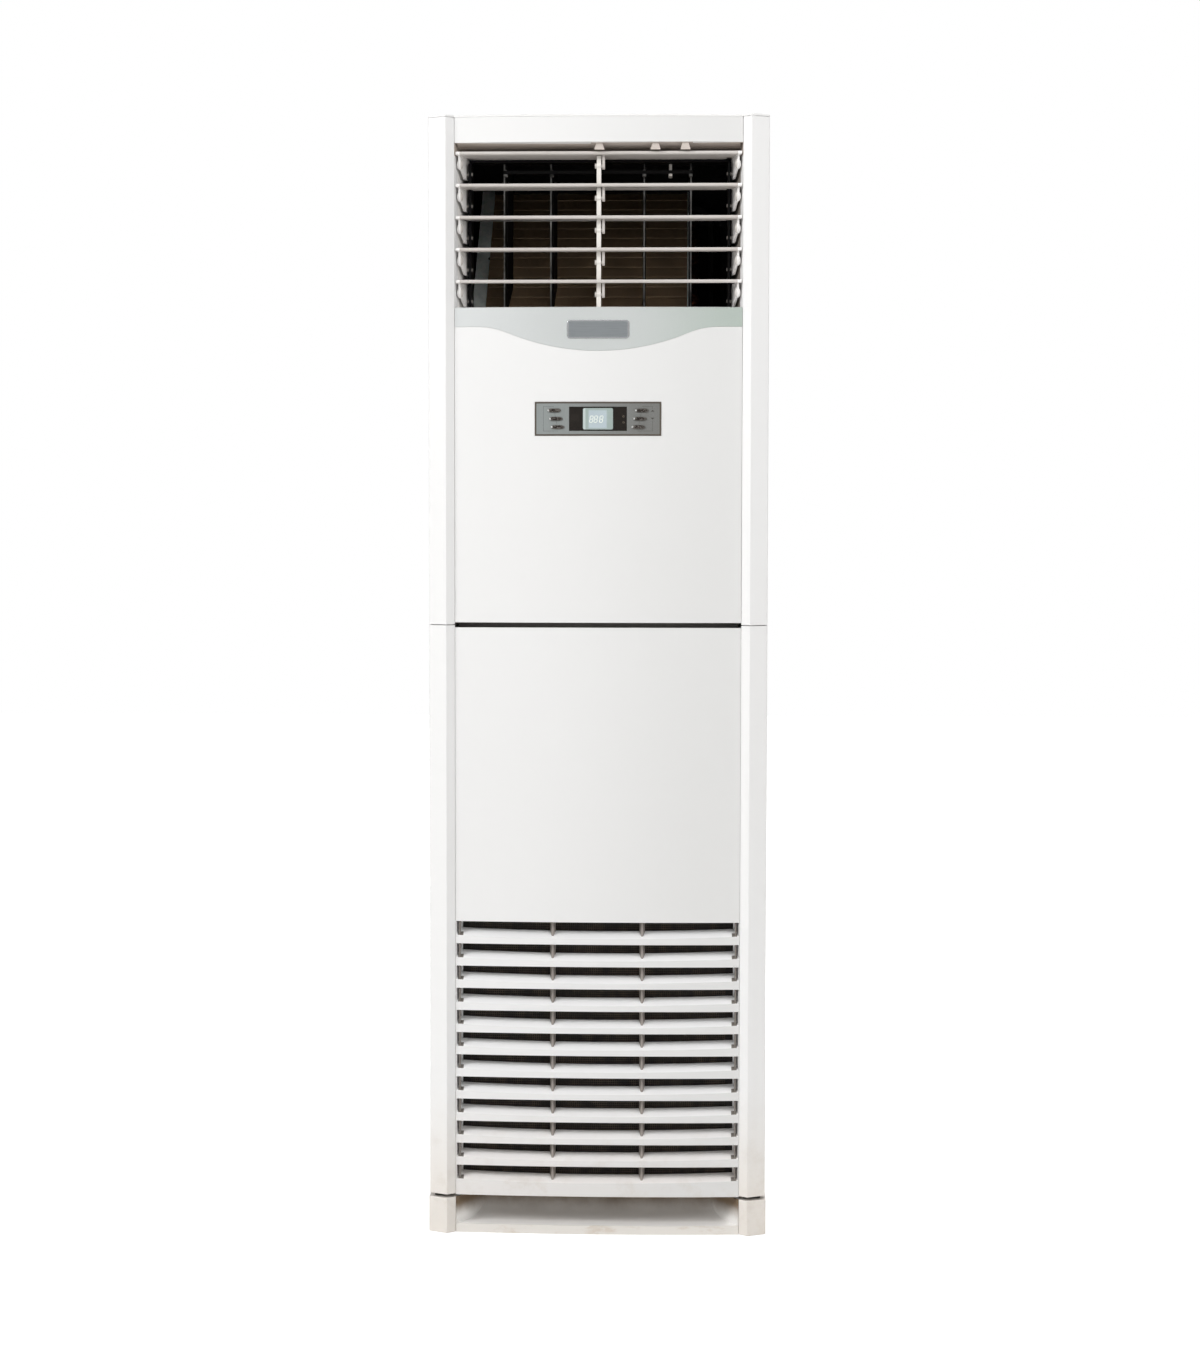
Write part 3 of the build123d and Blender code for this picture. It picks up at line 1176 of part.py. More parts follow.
def inlet_cheek():
    """Front side plate of the scroll, with the inlet's lip."""
    centre = (WHEEL_X, WHEEL_Z)
    front, back = HOUSING_FRONT_Y, HOUSING_FRONT_Y + HOUSING_SHEET
    plate = scroll_volume(HOUSING_SHEET, front, back, DECK_Z - FIT)
    plate += rod("y", centre, front - INLET_LIP, back, INLET_R + HOUSING_SHEET)
    return plate - rod("y", centre, front - INLET_LIP - 1, back + 1, INLET_R)


def motor_cheek():
    """Back side plate of the scroll, which carries the motor around its opening."""
    front, back = HOUSING_BACK_Y - HOUSING_SHEET, HOUSING_BACK_Y
    plate = scroll_volume(HOUSING_SHEET, front, back, DECK_Z - FIT)
    return plate - rod("y", (WHEEL_X, WHEEL_Z), front - 1, back + 1, MOTOR_OPENING_R)


def blower_wheel():
    """Squirrel cage wheel with its hub and shaft."""
    centre = (WHEEL_X, WHEEL_Z)
    wheel = rod("y", centre, WHEEL_BACK_Y - WHEEL_PLATE, WHEEL_BACK_Y, WHEEL_R)
    ring = rod("y", centre, WHEEL_FRONT_Y, WHEEL_FRONT_Y + WHEEL_PLATE, WHEEL_R)
    ring -= rod("y", centre, WHEEL_FRONT_Y - 1, WHEEL_FRONT_Y + WHEEL_PLATE + 1, WHEEL_EYE_R)
    wheel += ring
    wheel += rod("y", centre, WHEEL_BACK_Y - 38, WHEEL_BACK_Y, HUB_R)
    chord = WHEEL_R - WHEEL_EYE_R - 1
    blade = block((0, chord), (WHEEL_FRONT_Y + 1, WHEEL_BACK_Y - 1), (-0.9, 0.9))
    blade = Pos(WHEEL_EYE_R + 1, 0, 0) * Rot(0, 30, 0) * blade
    blade &= rod("y", (0, 0), WHEEL_FRONT_Y, WHEEL_BACK_Y, WHEEL_R - 0.2)
    for index in range(WHEEL_BLADES):
        wheel += Pos(WHEEL_X, 0, WHEEL_Z) * Rot(0, 360 * index / WHEEL_BLADES, 0) * blade
    return wheel + rod("y", centre, WHEEL_BACK_Y - 45, SHAFT_END_Y, SHAFT_R)


def fan_motor():
    """Fan motor on the back of the housing, with a mounting flange and the shaft's bearing bore."""
    centre = (WHEEL_X, WHEEL_Z)
    front = HOUSING_BACK_Y + FIT
    motor = rod("y", centre, front, front + MOTOR_FLANGE, MOTOR_FLANGE_R)
    body = rod("y", centre, front, front + MOTOR_BODY, MOTOR_BODY_R)
    motor += fillet(body.edges().sort_by(Axis.Y)[-1], 8.0)
    return motor - rod("y", centre, front - 1, SHAFT_END_Y + 2, SHAFT_R + RUNNING_FIT)


# ---- electrical ----
def electrical_box():
    """Closed control box on the deck, in front of the air passage."""
    floor = DECK_Z + SHEET + FIT
    box = block(BOX_X, BOX_Y, (floor, floor + BOX_HEIGHT))
    hollow = block(
        (BOX_X[0] + SHEET, BOX_X[1] - SHEET),
        (BOX_Y[0] + SHEET, BOX_Y[1] - SHEET),
        (floor + SHEET, floor + BOX_HEIGHT - SHEET),
    )
    return box - hollow


def terminal_block():
    """Terminal strip on the box's flank, with its row of screw wells."""
    wide, deep, tall = TERMINAL
    x = BOX_X[1] + FIT
    y = (BOX_Y[0] + BOX_Y[1]) / 2
    low = DECK_Z + BOX_HEIGHT / 2 - tall / 2
    strip = block((x, x + wide), (y - deep / 2, y + deep / 2), (low, low + tall))
    for step in range(TERMINAL_WELLS):
        z = low + tall * (step + 0.5) / TERMINAL_WELLS
        strip -= rod("x", (y, z), x + wide - 8, x + wide + 1, 5.0)
    return strip


def cable_gland():
    """Cable gland through the rear panel: outer flange, barrel and inner nut."""
    centre = (GLAND_X, GLAND_Z)
    gland = rod("y", centre, BACK_Y + 0.1, BACK_Y + 0.1 + SCREW_HEAD, GLAND_HEAD_R)
    gland += rod("y", centre, REAR_SHEET_Y - 14, BACK_Y + 1, GLAND_R)
    nut = Plane((GLAND_X, REAR_SHEET_Y - FIT - GLAND_NUT, GLAND_Z), x_dir=(1, 0, 0), z_dir=(0, 1, 0))
    gland += extrude(nut * RegularPolygon(GLAND_HEAD_R, 6), amount=GLAND_NUT)
    return gland - rod("y", centre, REAR_SHEET_Y - 15, BACK_Y + 5, GLAND_BORE_R)


def foam_liner():
    """Foam sheets on the walls of the outlet chamber."""
    side_x = (SIDE_INNER_X - FIT - LINER, SIDE_INNER_X - FIT)
    rear_y = FLANGE_Y - SHEET - FIT
    front_y = COLUMN_BACK_Y + 2
    top_z = WALL_TOP_Z - FIT - LINER
    side = block(side_x, (front_y, rear_y), (LINER_BOTTOM_Z, WALL_TOP_Z))
    half = side_x[0] - FIT
    rear = block((-half, half), (rear_y - LINER, rear_y), (LINER_BOTTOM_Z, top_z - FIT))
    top = block((-half, half), (front_y, rear_y), (top_z, WALL_TOP_Z))
    return Compound(children=[side, mirrored(side), rear, top])


# ---- intake panel and air filter ----
def grille_blade(top, foot):
    """Blade under a slot: bulged face and a flat sloping top, which cuts the face lower in the middle."""
    near, far = FRONT_Y - 1, EDGE_Y + BLADE_DEPTH + 1
    face_top = top - GRILLE_PITCH + BLADE_FACE
    low, high = [face_top + BLADE_SLOPE * (y - EDGE_Y) for y in (near, far)]
    under = prism([(near, foot), (near, low), (far, high), (far, foot)], "x", -HALF, HALF)
    hollow = [(near, foot), (near, low - BLADE_SKIN), (far, high - BLADE_SKIN), (far, foot)]
    shelf = front_slice(BLADE_DEPTH, PANEL_HALF, foot, high) & (under - prism(hollow, "x", -HALF, HALF))
    return shelf + (front_slice(BLADE_SKIN, PANEL_HALF, foot, high) & under)


def slot_end():
    """Solid end of the grille's slots: its face slants inward to the back."""
    slope = SLOT_FLARE / BLADE_DEPTH
    x = PANEL_HALF - SLOT_END
    near, far = EDGE_Y - BLADE_DEPTH, EDGE_Y + 1.5 * BLADE_DEPTH
    plan = [
        (x + (EDGE_Y - near) * slope, near),
        (FAR, near),
        (FAR, far),
        (x - (far - EDGE_Y) * slope, far),
    ]
    return prism(plan, "z", PANEL_FOOT_Z, GRILLE_TOP + PANEL_WALL)


def grille_rib(x):
    """Upright rib across the slots, narrow in front and wide behind."""
    far = PANEL_Y + BLADE_DEPTH
    near = far - RIB_DEPTH
    front, back = RIB_FRONT / 2, RIB_BACK / 2
    plan = [(x - front, near), (x + front, near), (x + back, far), (x - back, far)]
    return prism(plan, "z", PANEL_FOOT_Z + 10, GRILLE_TOP + 1)


def filter_rail():
    """Right guide of the air filter: a channel that opens inward."""
    back = FILTER_FRONT + FILTER_THICK
    wall, slip = RAIL_WALL, FILTER_SLIP
    outer = FILTER_HALF + slip + wall
    z = (FILTER_FLOOR - PANEL_WALL, RAIL_TOP)
    channel = block((FILTER_HALF - RAIL_HOLD, outer), (EDGE_Y + PANEL_WALL / 2, back + slip + wall), z)
    channel -= block((0, FILTER_HALF + slip), (FILTER_FRONT - slip, back + slip), (0, HEIGHT))
    channel -= block((0, FILTER_HALF + slip), (-HALF, FILTER_FRONT - slip - wall), (0, HEIGHT))
    return channel


def intake_panel():
    """Lower front panel: plain upper part, twelve grille slots, filter guides, hinge pins and catches."""
    wall = PANEL_WALL
    top = SEAM_Z - SEAM_GAP / 2
    shell = [
        (PANEL_Y, GRILLE_TOP),
        (PANEL_Y, top),
        (PANEL_Y + PANEL_RETURN, top),
        (PANEL_Y + PANEL_RETURN, top - wall),
        (PANEL_Y + wall, top - wall),
        (PANEL_Y + wall, GRILLE_TOP),
    ]
    panel = bowed(shell, PANEL_HALF)
    for index in range(GRILLE_SLOTS):
        slot_top = GRILLE_TOP - index * GRILLE_PITCH
        last = index == GRILLE_SLOTS - 1
        foot = PANEL_FOOT_Z if last else slot_top - GRILLE_PITCH
        panel += grille_blade(slot_top, foot)
    layer = front_slice(BLADE_DEPTH, PANEL_HALF, PANEL_FOOT_Z, GRILLE_TOP + wall)
    panel += layer & slot_end()
    panel += layer & mirrored(slot_end())
    for x in (-RIB_X, RIB_X):
        panel += layer & grille_rib(x)
    panel += both_sides(filter_rail())
    stop = block((FILTER_HALF - 20, FILTER_HALF), (EDGE_Y + wall, FILTER_FRONT + FILTER_THICK + 1),
                 (FILTER_FLOOR - wall, FILTER_FLOOR - FIT))
    panel += both_sides(stop)
    lug = block((PANEL_HALF - 8, PANEL_HALF), (EDGE_Y + wall / 2, HINGE_Y + 6), (PANEL_FOOT_Z, HINGE_Z + 8))
    pin = rod("x", (HINGE_Y, HINGE_Z), PANEL_HALF - 1, PANEL_HALF + HINGE_PIN_LENGTH, HINGE_PIN_R)
    panel += both_sides(lug + pin)
    catch_end = PANEL_HALF - CATCH_INSET
    catch = bowed(
        [
            (PANEL_Y + 12, top - wall),
            (PANEL_Y + BLADE_DEPTH - FIT, top - wall - 3),
            (PANEL_Y + BLADE_DEPTH - FIT, top - wall - 8),
            (PANEL_Y + 12, top - 2 * wall - 8),
        ],
        catch_end,
    )
    catch += front_slice(PANEL_RETURN, catch_end, top - wall - 12, top - wall)
    middle = catch_end - CATCH_WIDTH
    return panel + (catch - block((-middle, middle), (-HALF, 0), (0, HEIGHT)))


def air_filter():
    """Filter frame with its thin mesh and cross bars."""
    z = (FILTER_FLOOR, FILTER_FLOOR + FILTER_HEIGHT)
    back = FILTER_FRONT + FILTER_THICK
    border = FILTER_BORDER
    frame = block((-FILTER_HALF, FILTER_HALF), (FILTER_FRONT, back), z)
    frame -= block((-FILTER_HALF + border, FILTER_HALF - border), (FILTER_FRONT - 1, back + 1),
                   (z[0] + border, z[1] - border))
    middle = (FILTER_FRONT + back) / 2
    mesh = block((-FILTER_HALF + border - 1, FILTER_HALF - border + 1),
                 (middle - FILTER_MESH / 2, middle + FILTER_MESH / 2), (z[0] + border - 1, z[1] - border + 1))
    panel = frame + mesh
    step = (FILTER_HEIGHT - 2 * border) / (FILTER_BARS + 1)
    for index in range(FILTER_BARS):
        height = z[0] + border + (index + 1) * step
        bar = (height - FILTER_BAR / 2, height + FILTER_BAR / 2)
        panel += block((-FILTER_HALF + 5, FILTER_HALF - 5), (FILTER_FRONT, back), bar)
    return panel


def build():
    """Every piece by name."""
    pieces = {
        "base_plate": base_plate(),
        "toe_scoop": toe_scoop(),
        "rear_panel": rear_panel(),
        "top_cover": top_cover(),
        "head_bar": head_bar(),
        "cabinet_screws": cabinet_screws(),
        "upper_front_panel": upper_front_panel(),
        "accent_band": accent_band(),
        "badge_plate": badge_plate(),
        "control_bezel": control_bezel(),
        "display_lens": display_lens(),
        "lcd_module": lcd_module(),
        "control_board": control_board(),
        "outlet_duct": outlet_duct(),
        "vane_frame": vane_frame(),
        "link_bar": link_bar(),
        "vane_link": vane_link(),
        "vane_crank": vane_crank(),
        "vane_motor": vane_motor(),
        "coil_fins": coil_fins(),
        "coil_end_plates": coil_end_plates(),
        "coil_tubes": coil_tubes(),
        "refrigerant_pipes": refrigerant_pipes(),
        "flare_nuts": flare_nuts(),
        "drain_pan": drain_pan(),
        "drain_pipe": drain_pipe(),
        "fan_deck": fan_deck(),
        "blower_housing": blower_housing(),
        "inlet_cheek": inlet_cheek(),
        "motor_cheek": motor_cheek(),
        "blower_wheel": blower_wheel(),
        "fan_motor": fan_motor(),
        "electrical_box": electrical_box(),
        "terminal_block": terminal_block(),
        "cable_gland": cable_gland(),
        "foam_liner": foam_liner(),
        "intake_panel": intake_panel(),
        "air_filter": air_filter(),
    }
    for name, lower in (("upper_column", False), ("lower_column", True)):
        shape = column(lower)
        pieces["right_" + name] = shape
        pieces["left_" + name] = mirrored(shape)
    for name, shape in (("plinth_blocks", plinth_moulding()), ("side_panels", side_panel())):
        pieces[name] = Compound(children=[mirrored(shape), shape])
    for index, place in enumerate(button_places(), start=1):
        pieces[f"button_{index}"] = push_button(place)
    for row in range(LOUVRE_COUNT):
        pieces[f"blade_{row + 1}"] = louvre(row)
    for index in range(VANE_COUNT):
        pieces[f"vane_{index + 1}"] = vane(index)
    return pieces


os.makedirs("parts", exist_ok=True)
for name, shape in build().items():
    export_step(shape, f"parts/{name}.step")
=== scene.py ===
import bmesh
import bpy
import json
from math import cos, pi, radians, sin
from mathutils import Matrix, Vector

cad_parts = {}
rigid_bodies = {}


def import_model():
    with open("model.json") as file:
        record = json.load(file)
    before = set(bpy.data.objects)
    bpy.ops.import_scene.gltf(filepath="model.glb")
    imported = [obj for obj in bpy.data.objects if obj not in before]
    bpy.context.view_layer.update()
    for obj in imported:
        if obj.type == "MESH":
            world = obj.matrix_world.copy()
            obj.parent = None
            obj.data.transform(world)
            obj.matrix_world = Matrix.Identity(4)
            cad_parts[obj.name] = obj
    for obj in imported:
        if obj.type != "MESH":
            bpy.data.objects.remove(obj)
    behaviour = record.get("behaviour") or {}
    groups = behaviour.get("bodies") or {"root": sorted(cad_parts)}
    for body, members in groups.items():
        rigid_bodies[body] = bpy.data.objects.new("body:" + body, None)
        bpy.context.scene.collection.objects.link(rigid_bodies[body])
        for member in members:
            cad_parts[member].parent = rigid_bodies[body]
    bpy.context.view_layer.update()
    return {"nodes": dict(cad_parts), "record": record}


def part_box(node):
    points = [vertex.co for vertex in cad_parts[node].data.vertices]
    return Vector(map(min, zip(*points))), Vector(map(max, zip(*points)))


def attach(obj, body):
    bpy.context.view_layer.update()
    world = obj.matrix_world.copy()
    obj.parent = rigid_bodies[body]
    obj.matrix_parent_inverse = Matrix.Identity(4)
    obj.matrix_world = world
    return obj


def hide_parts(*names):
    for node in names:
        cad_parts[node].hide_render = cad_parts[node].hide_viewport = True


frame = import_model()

nodes = frame["nodes"]
MM = 0.001

# The layout in millimetres, as the solids have it. Fronts:
PANEL_Y = -188.0                    # the bowed front at its middle
BOW_RADIUS = 3224.6
BAY_HALF = 227.0                    # from the middle to the columns
FACE_DEPTH = (0.5, 1.6)             # where the face ends and what lies behind it starts
SEAM_Z = 975.5
SEAM_HALF = 22.0
SEAM_SHADE_Y = -176.0
SOFFIT_Z = 1724.0                   # underside of the head bar
SOFFIT_HALF = 10.0
SOFFIT_SHADE_Y = -179.0
LUG_Z = 1728.0                      # lugs under the head bar
LUG_HALF = 7.0
LUG_Y = -184.0
LUG_MIDDLE = 68.0
LUG_REACH = 80.0
PLINTH_SLOT_Z = 59.8
PLINTH_SLOT_HALF = 2.8

# Intake grille and air filter:
GRILLE_TOP = 502.5
GRILLE_BEHIND = 1.2                 # behind the face from here on
GUIDE_X = 218.5
GUIDE_HALF = 4.0
GUIDE_BACK = -171.0
RIB_X = 71.3
RIB_Y = -180.3
RIB_HALF = 1.5                      # at its front; it widens to the back
RIB_FLARE = 0.267
FILTER_X = (-204.0, 204.0)
FILTER_Z = (84.0, 500.0)
FILTER_Y = -154.15
THREAD_PITCH = 3.4
THREAD_SIZE = (0.9, 0.5)

# Outlet and coil:
BLADE_NOSE_Y = -178.0
ARM_X = 218.9                       # inner face of a blade's end arm at the nose
ARM_TAPER = 0.208
VANE_COUNT = 5
VANE_EDGE_Y = -116.6
DUCT_SHADE_X = (-60.0, 60.0)        # the reveal darkens to the right between these
DUCT_ROOF_Z = (1716.0, 1722.0)
COIL_FOOT = (-124.0, 1440.0)
COIL_LEAN = 45.0
COIL_X = (-186.0, 140.0)
COIL_LENGTH = 366.0
COIL_THICK = 60.0
TUBE_PITCH = 25.4
TUBE_FIRST = 14.0
TUBE_COUNT = 14
RAIL_SIZE = (2.0, 1.2)
FIN_PITCH = 2.0
FIN_WALL = 0.3
FIN_DEPTH = 4.0
# painted light: the fins lighten below this band
FIN_LIGHT_Z = (1450.0, 1660.0)
PLATE_HOLE = (-186.0, 1573.5)       # hole in the coil's end plate
PLATE_HOLE_SQUARE = 4.2             # its radius squared
PLATE_BACK = 40.0
BARE_PIPE_Y = (150.0, 152.0)        # the lagging ends here
BARE_PIPE_Z = (300.0, 304.0)

# Controls and badge:
BUTTON_COUNT = 6
BUTTON_X = 66.3
BUTTON_LEAN = 0.2061                # the rows of buttons spread as they rise
BUTTON_PITCH = 12.8
BUTTON_HALF = (9.4, 2.7)
CONTROL_Z = 1300.8
BEZEL_HALF = (99.5, 26.5)
BEZEL_CORNER = 3.4
BEZEL_BORDER = 2.5
BRACKET_X = 86.0
BRACKET_Z = 19.2
BRACKET_TOP_X = 69.5
BRACKET_FOOT_X = 63.2
LINK_REACH = 12.0
ARROW_GAP = (-3.0, 15.5)
ARROWS = ((12.6, 1), (0.2, -1))     # height of each arrow and the way it points
DOT_HALF = 0.28
DOT_LENGTH = 1.05
DOT_PITCH = 1.7
WINDOW_MIDDLE = (-36.5, 1.4)
WINDOW_HALF = (6.5, 5.0)
MARKER_X = 40.3
MARKER_LIFTS = (3.8, -5.5)
MARKER_RADIUS = 1.3
LCD_SIZE = (23.7, 16.8)
LCD_CORNER = 2.7
LCD_CELL = 1.5
DIGIT_SIZE = (4.7, 5.0, 1.2)
DIGIT_MIDDLES = (-10.4, -3.3, 5.2)
DIGIT_Y = -187.75
DIGIT_DROP = 0.6
DIGIT_SLANT = 0.16
DIGIT_THICK = 0.12
SEGMENT_GAP = 0.2
SEGMENTS = [(0, 1, True), (0, 0, True), (0, -1, True), (0.5, 0.5, False), (0.5, -0.5, False),
            (-0.5, 0.5, False), (-0.5, -0.5, False)]
BADGE_Z = 1441.0
BADGE_RIM_X = (45.5, 47.0)
BADGE_RIM_Z = (11.6, 13.0)

# Screws at the rear:
SCREW_RIM = 4.0
SCREW_SIDES = 24
SCREW_PROFILE = [(0.0, 0.0), (3.99, 0.0), (3.99, 0.7), (3.5, 1.5), (2.4, 2.0), (0.0, 2.1)]
SCREW_HEIGHT = 2.1
SCREW_ROWS = 4
RECESS_SIZE = (3.6, 1.6, 0.8)

# The camera (metres, degrees and pixels):
CAMERA_PLACE = (0.1389, -4.1844, 1.1046)
CAMERA_TURN = 1.935
CAMERA_DROP = 2.973
CAMERA_ROLL = 0.089
PICTURE_HEIGHT = 1350
FOCAL_PIXELS = 2530.5
SENSOR_HEIGHT = 24.0

# The floor (metres from the origin):
FLOOR_SHADED = 0.5
FLOOR_OPEN = 2.0


# ---- shader maths ----
def linear(red, green, blue):
    """Linear colour from display values between 0 and 255."""
    def one(level):
        level /= 255
        return level / 12.92 if level <= 0.04045 else ((level + 0.055) / 1.055) ** 2.4
    return (one(red), one(green), one(blue), 1.0)


class Value:
    """A number in a material: Python's operators add its Math nodes."""

    def __init__(self, paint, socket):
        self.paint = paint
        self.socket = socket

    def join(self, operation, *terms):
        node = self.paint.node("ShaderNodeMath", {"operation": operation}, *terms)
        return Value(self.paint, node.outputs[0])

    def __add__(self, other):
        return self.join("ADD", self, other)

    def __radd__(self, other):
        return self.join("ADD", other, self)

    def __sub__(self, other):
        return self.join("SUBTRACT", self, other)

    def __rsub__(self, other):
        return self.join("SUBTRACT", other, self)

    def __mul__(self, other):
        return self.join("MULTIPLY", self, other)

    def __rmul__(self, other):
        return self.join("MULTIPLY", other, self)

    def __truediv__(self, other):
        return self.join("DIVIDE", self, other)

    def __mod__(self, other):
        return self.join("FLOORED_MODULO", self, other)

    def __pow__(self, other):
        return self.join("POWER", self, other)

    def __abs__(self):
        return self.join("ABSOLUTE", self)

    def below(self, other):
        return self.join("LESS_THAN", self, other)

    def above(self, other):
        return self.join("GREATER_THAN", self, other)

    def most(self, other):
        return self.join("MAXIMUM", self, other)

    def step(self, low, high):
        """0 below low, 1 above high, smooth between."""
        settings = {"interpolation_type": "SMOOTHSTEP"}
        node = self.paint.node("ShaderNodeMapRange", settings, Value=self, From_Min=low, From_Max=high)
        return Value(self.paint, node.outputs["Result"])


class Paint:
    """One material: a Principled shader and the nodes in front of it."""

    def __init__(self, name, **finish):
        self.material = bpy.data.materials.new(name)
        self.material.use_nodes = True
        self.tree = self.material.node_tree
        self.tree.nodes.clear()
        self.shader = self.node("ShaderNodeBsdfPrincipled", {})
        output = self.node("ShaderNodeOutputMaterial", {})
        self.tree.links.new(self.shader.outputs[0], output.inputs["Surface"])
        self.place = self.node("ShaderNodeTexCoord", {}).outputs["Object"]
        split = self.node("ShaderNodeSeparateXYZ", {}, Vector=self.place)
        self.x, self.y, self.z = (Value(self, split.outputs[axis]) / MM for axis in range(3))
        for socket, value in finish.items():
            self.shader.inputs[socket.replace("_", " ")].default_value = value

    def node(self, kind, settings, *terms, **inputs):
        """Adds a node: its settings first, then values or links for its sockets."""
        node = self.tree.nodes.new(kind)
        for name, value in settings.items():
            setattr(node, name, value)
        sockets = [(node.inputs[index], term) for index, term in enumerate(terms)]
        sockets += [(node.inputs[name.replace("_", " ")], term) for name, term in inputs.items()]
        for socket, term in sockets:
            self.feed(socket, term)
        return node

    def feed(self, socket, term):
        if isinstance(term, Value):
            self.tree.links.new(term.socket, socket)
        elif isinstance(term, bpy.types.NodeSocket):
            self.tree.links.new(term, socket)
        else:
            socket.default_value = term

    def stretched(self, x, y, z):
        """Object coordinates scaled by axis, for patterns longer one way."""
        node = self.node("ShaderNodeVectorMath", {"operation": "MULTIPLY"}, self.place, (x, y, z))
        return node.outputs[0]

    def noise(self, scale, detail=2.0, rough=0.5, place=None):
        node = self.node("ShaderNodeTexNoise", {}, Vector=place or self.place, Scale=scale,
                         Detail=detail, Roughness=rough)
        return Value(self, node.outputs[0])

    def cells(self, scale):
        return self.node("ShaderNodeTexVoronoi", {"feature": "F1"}, Vector=self.place, Scale=scale)

    def mix(self, first, second, share):
        """A colour between two, by a share from 0 to 1."""
        node = self.node("ShaderNodeMix", {"data_type": "RGBA"})
        self.feed(node.inputs[0], share)
        self.feed(node.inputs[6], first)
        self.feed(node.inputs[7], second)
        return node.outputs[2]

    def surface(self, colour, rough, height, depth, metal=None, glow=None):
        """Feeds what changes over the surface; the height's relief is depth metres."""
        varying = {"Base Color": colour, "Roughness": rough, "Metallic": metal, "Emission Color": glow}
        for name, term in varying.items():
            if term is not None:
                self.feed(self.shader.inputs[name], term)
        bump = self.node("ShaderNodeBump", {}, Strength=1.0, Distance=depth, Height=height)
        self.feed(self.shader.inputs["Normal"], bump.outputs[0])
        return self.material


def stripe(value, middle, half, soft):
    """1 within half of a middle value, fading over a soft edge."""
    return 1 - abs(value - middle).step(half, half + soft)


# ---- finishes ----
def moulded(name, face, foot, rough, grain):
    """White moulded plastic: fine grain and dust near the floor, with painted light and shade: a painted
    warm bounce tint near the floor, fronts painted darker to the right, and painted shade in the seam gap,
    under the head bar and its lugs, on the ribs and channels behind the grille and in the plinth slot.
    """
    paint = Paint(name, Roughness=rough, Coat_Weight=0.15, Coat_Roughness=0.25)
    near_floor = 1 - paint.z.step(0, 260)
    mottle = paint.noise(3.2, 3.0)
    dust = paint.noise(28.0, 5.0, 0.65).step(0.45, 0.75) * near_floor
    # painted light: the warm foot colour towards the floor stands for warm light bounced off the floor
    colour = paint.mix(linear(*face), linear(*foot), near_floor * 0.6 + mottle * 0.06)
    depth = paint.y - PANEL_Y - paint.x ** 2 / (2 * BOW_RADIUS)
    front = abs(paint.x).below(BAY_HALF) * (1 - depth.step(*FACE_DEPTH))
    # painted shade: the front faces are greyed, more so to the right, as if lit from the left
    colour = paint.mix(colour, linear(224, 224, 223), front * (paint.x.step(-190, 260) * 0.65 + 0.25))
    behind = depth.above(GRILLE_BEHIND) * paint.z.below(GRILLE_TOP)
    # painted shade: the ribs behind the grille are darkened as if shaded by the blade above
    rib_half = (paint.y - RIB_Y) * RIB_FLARE + RIB_HALF
    rib = abs(abs(paint.x) - RIB_X).below(rib_half) * paint.y.above(RIB_Y) * behind
    colour = paint.mix(colour, linear(156, 148, 142), rib)
    colour = paint.mix(colour, linear(196, 180, 160), dust * 0.3)
    between = abs(paint.x).below(BAY_HALF)
    # painted shade: the inner faces of the seam gap between the panels are darkened
    seam_shade = stripe(paint.z, SEAM_Z, SEAM_HALF, 1.0) * paint.y.above(SEAM_SHADE_Y) * between
    colour = paint.mix(colour, linear(104, 99, 93), seam_shade)
    # painted shade: the underside of the head bar is darkened
    soffit_shade = stripe(paint.z, SOFFIT_Z, SOFFIT_HALF, 1.0) * paint.y.above(SOFFIT_SHADE_Y) * between
    colour = paint.mix(colour, linear(204, 193, 184), soffit_shade)
    # painted shade: the lugs under the head bar are darkened like its underside
    lugs = abs(paint.x - LUG_MIDDLE).below(LUG_REACH) * paint.y.above(LUG_Y)
    lugs = lugs * stripe(paint.z, LUG_Z, LUG_HALF, 0.2)
    colour = paint.mix(colour, linear(206, 196, 188), lugs)
    # painted shade: the plinth slot's faces are painted near black, as its shaded inside
    slot = stripe(paint.z, PLINTH_SLOT_Z, PLINTH_SLOT_HALF, 0.15) * abs(paint.x).above(BAY_HALF)
    colour = paint.mix(colour, linear(22, 20, 18), slot)
    # painted shade: the filter channels at the grille's ends are darkened like shaded end walls
    guide_shade = stripe(abs(paint.x), GUIDE_X, GUIDE_HALF, 0.5) * paint.y.below(GUIDE_BACK) * behind
    colour = paint.mix(colour, linear(124, 118, 112), guide_shade)
    wiped = paint.noise(7.0, 4.0, 0.6, paint.stretched(1.0, 1.0, 0.35))
    grained = paint.noise(1500.0, 2.0) + paint.noise(420.0, 2.0) * 0.4
    return paint.surface(colour, rough - 0.06 + wiped * 0.14, height=grained, depth=grain)


def toe_space():
    """Inside of the toe space: brown grey painted shade on its back wall above, white on its floor, with a
    ragged edge between.
    """
    paint = Paint("toe_space", Roughness=0.45)
    dusty = paint.noise(22.0, 5.0, 0.65)
    height = paint.z + (dusty - 0.5) * 14.0
    # painted shade: the toe space darkens upwards under the panel's overhang
    colour = paint.mix(linear(248, 246, 243), linear(124, 104, 82), height.step(20.0, 50.0))
    return paint.surface(colour, 0.42 + dusty * 0.2, height=dusty, depth=0.00005)


def duct_plastic():
    """Off-white reveal of the outlet: painted shade makes its roof and right wall darker than its left wall.
    """
    paint = Paint("duct_plastic", Roughness=0.45)
    cloud = paint.noise(6.0, 4.0, 0.6)
    fine = paint.noise(900.0, 2.0)
    # painted shade: the reveal darkens to the right
    to_right = paint.x.step(*DUCT_SHADE_X) * 0.9 + cloud * 0.1
    colour = paint.mix(linear(252, 250, 247), linear(128, 121, 114), to_right)
    # painted shade: the roof facing down is darker
    colour = paint.mix(colour, linear(168, 158, 150), paint.z.step(*DUCT_ROOF_Z))
    return paint.surface(colour, 0.42 + cloud * 0.12, height=fine, depth=0.00003)


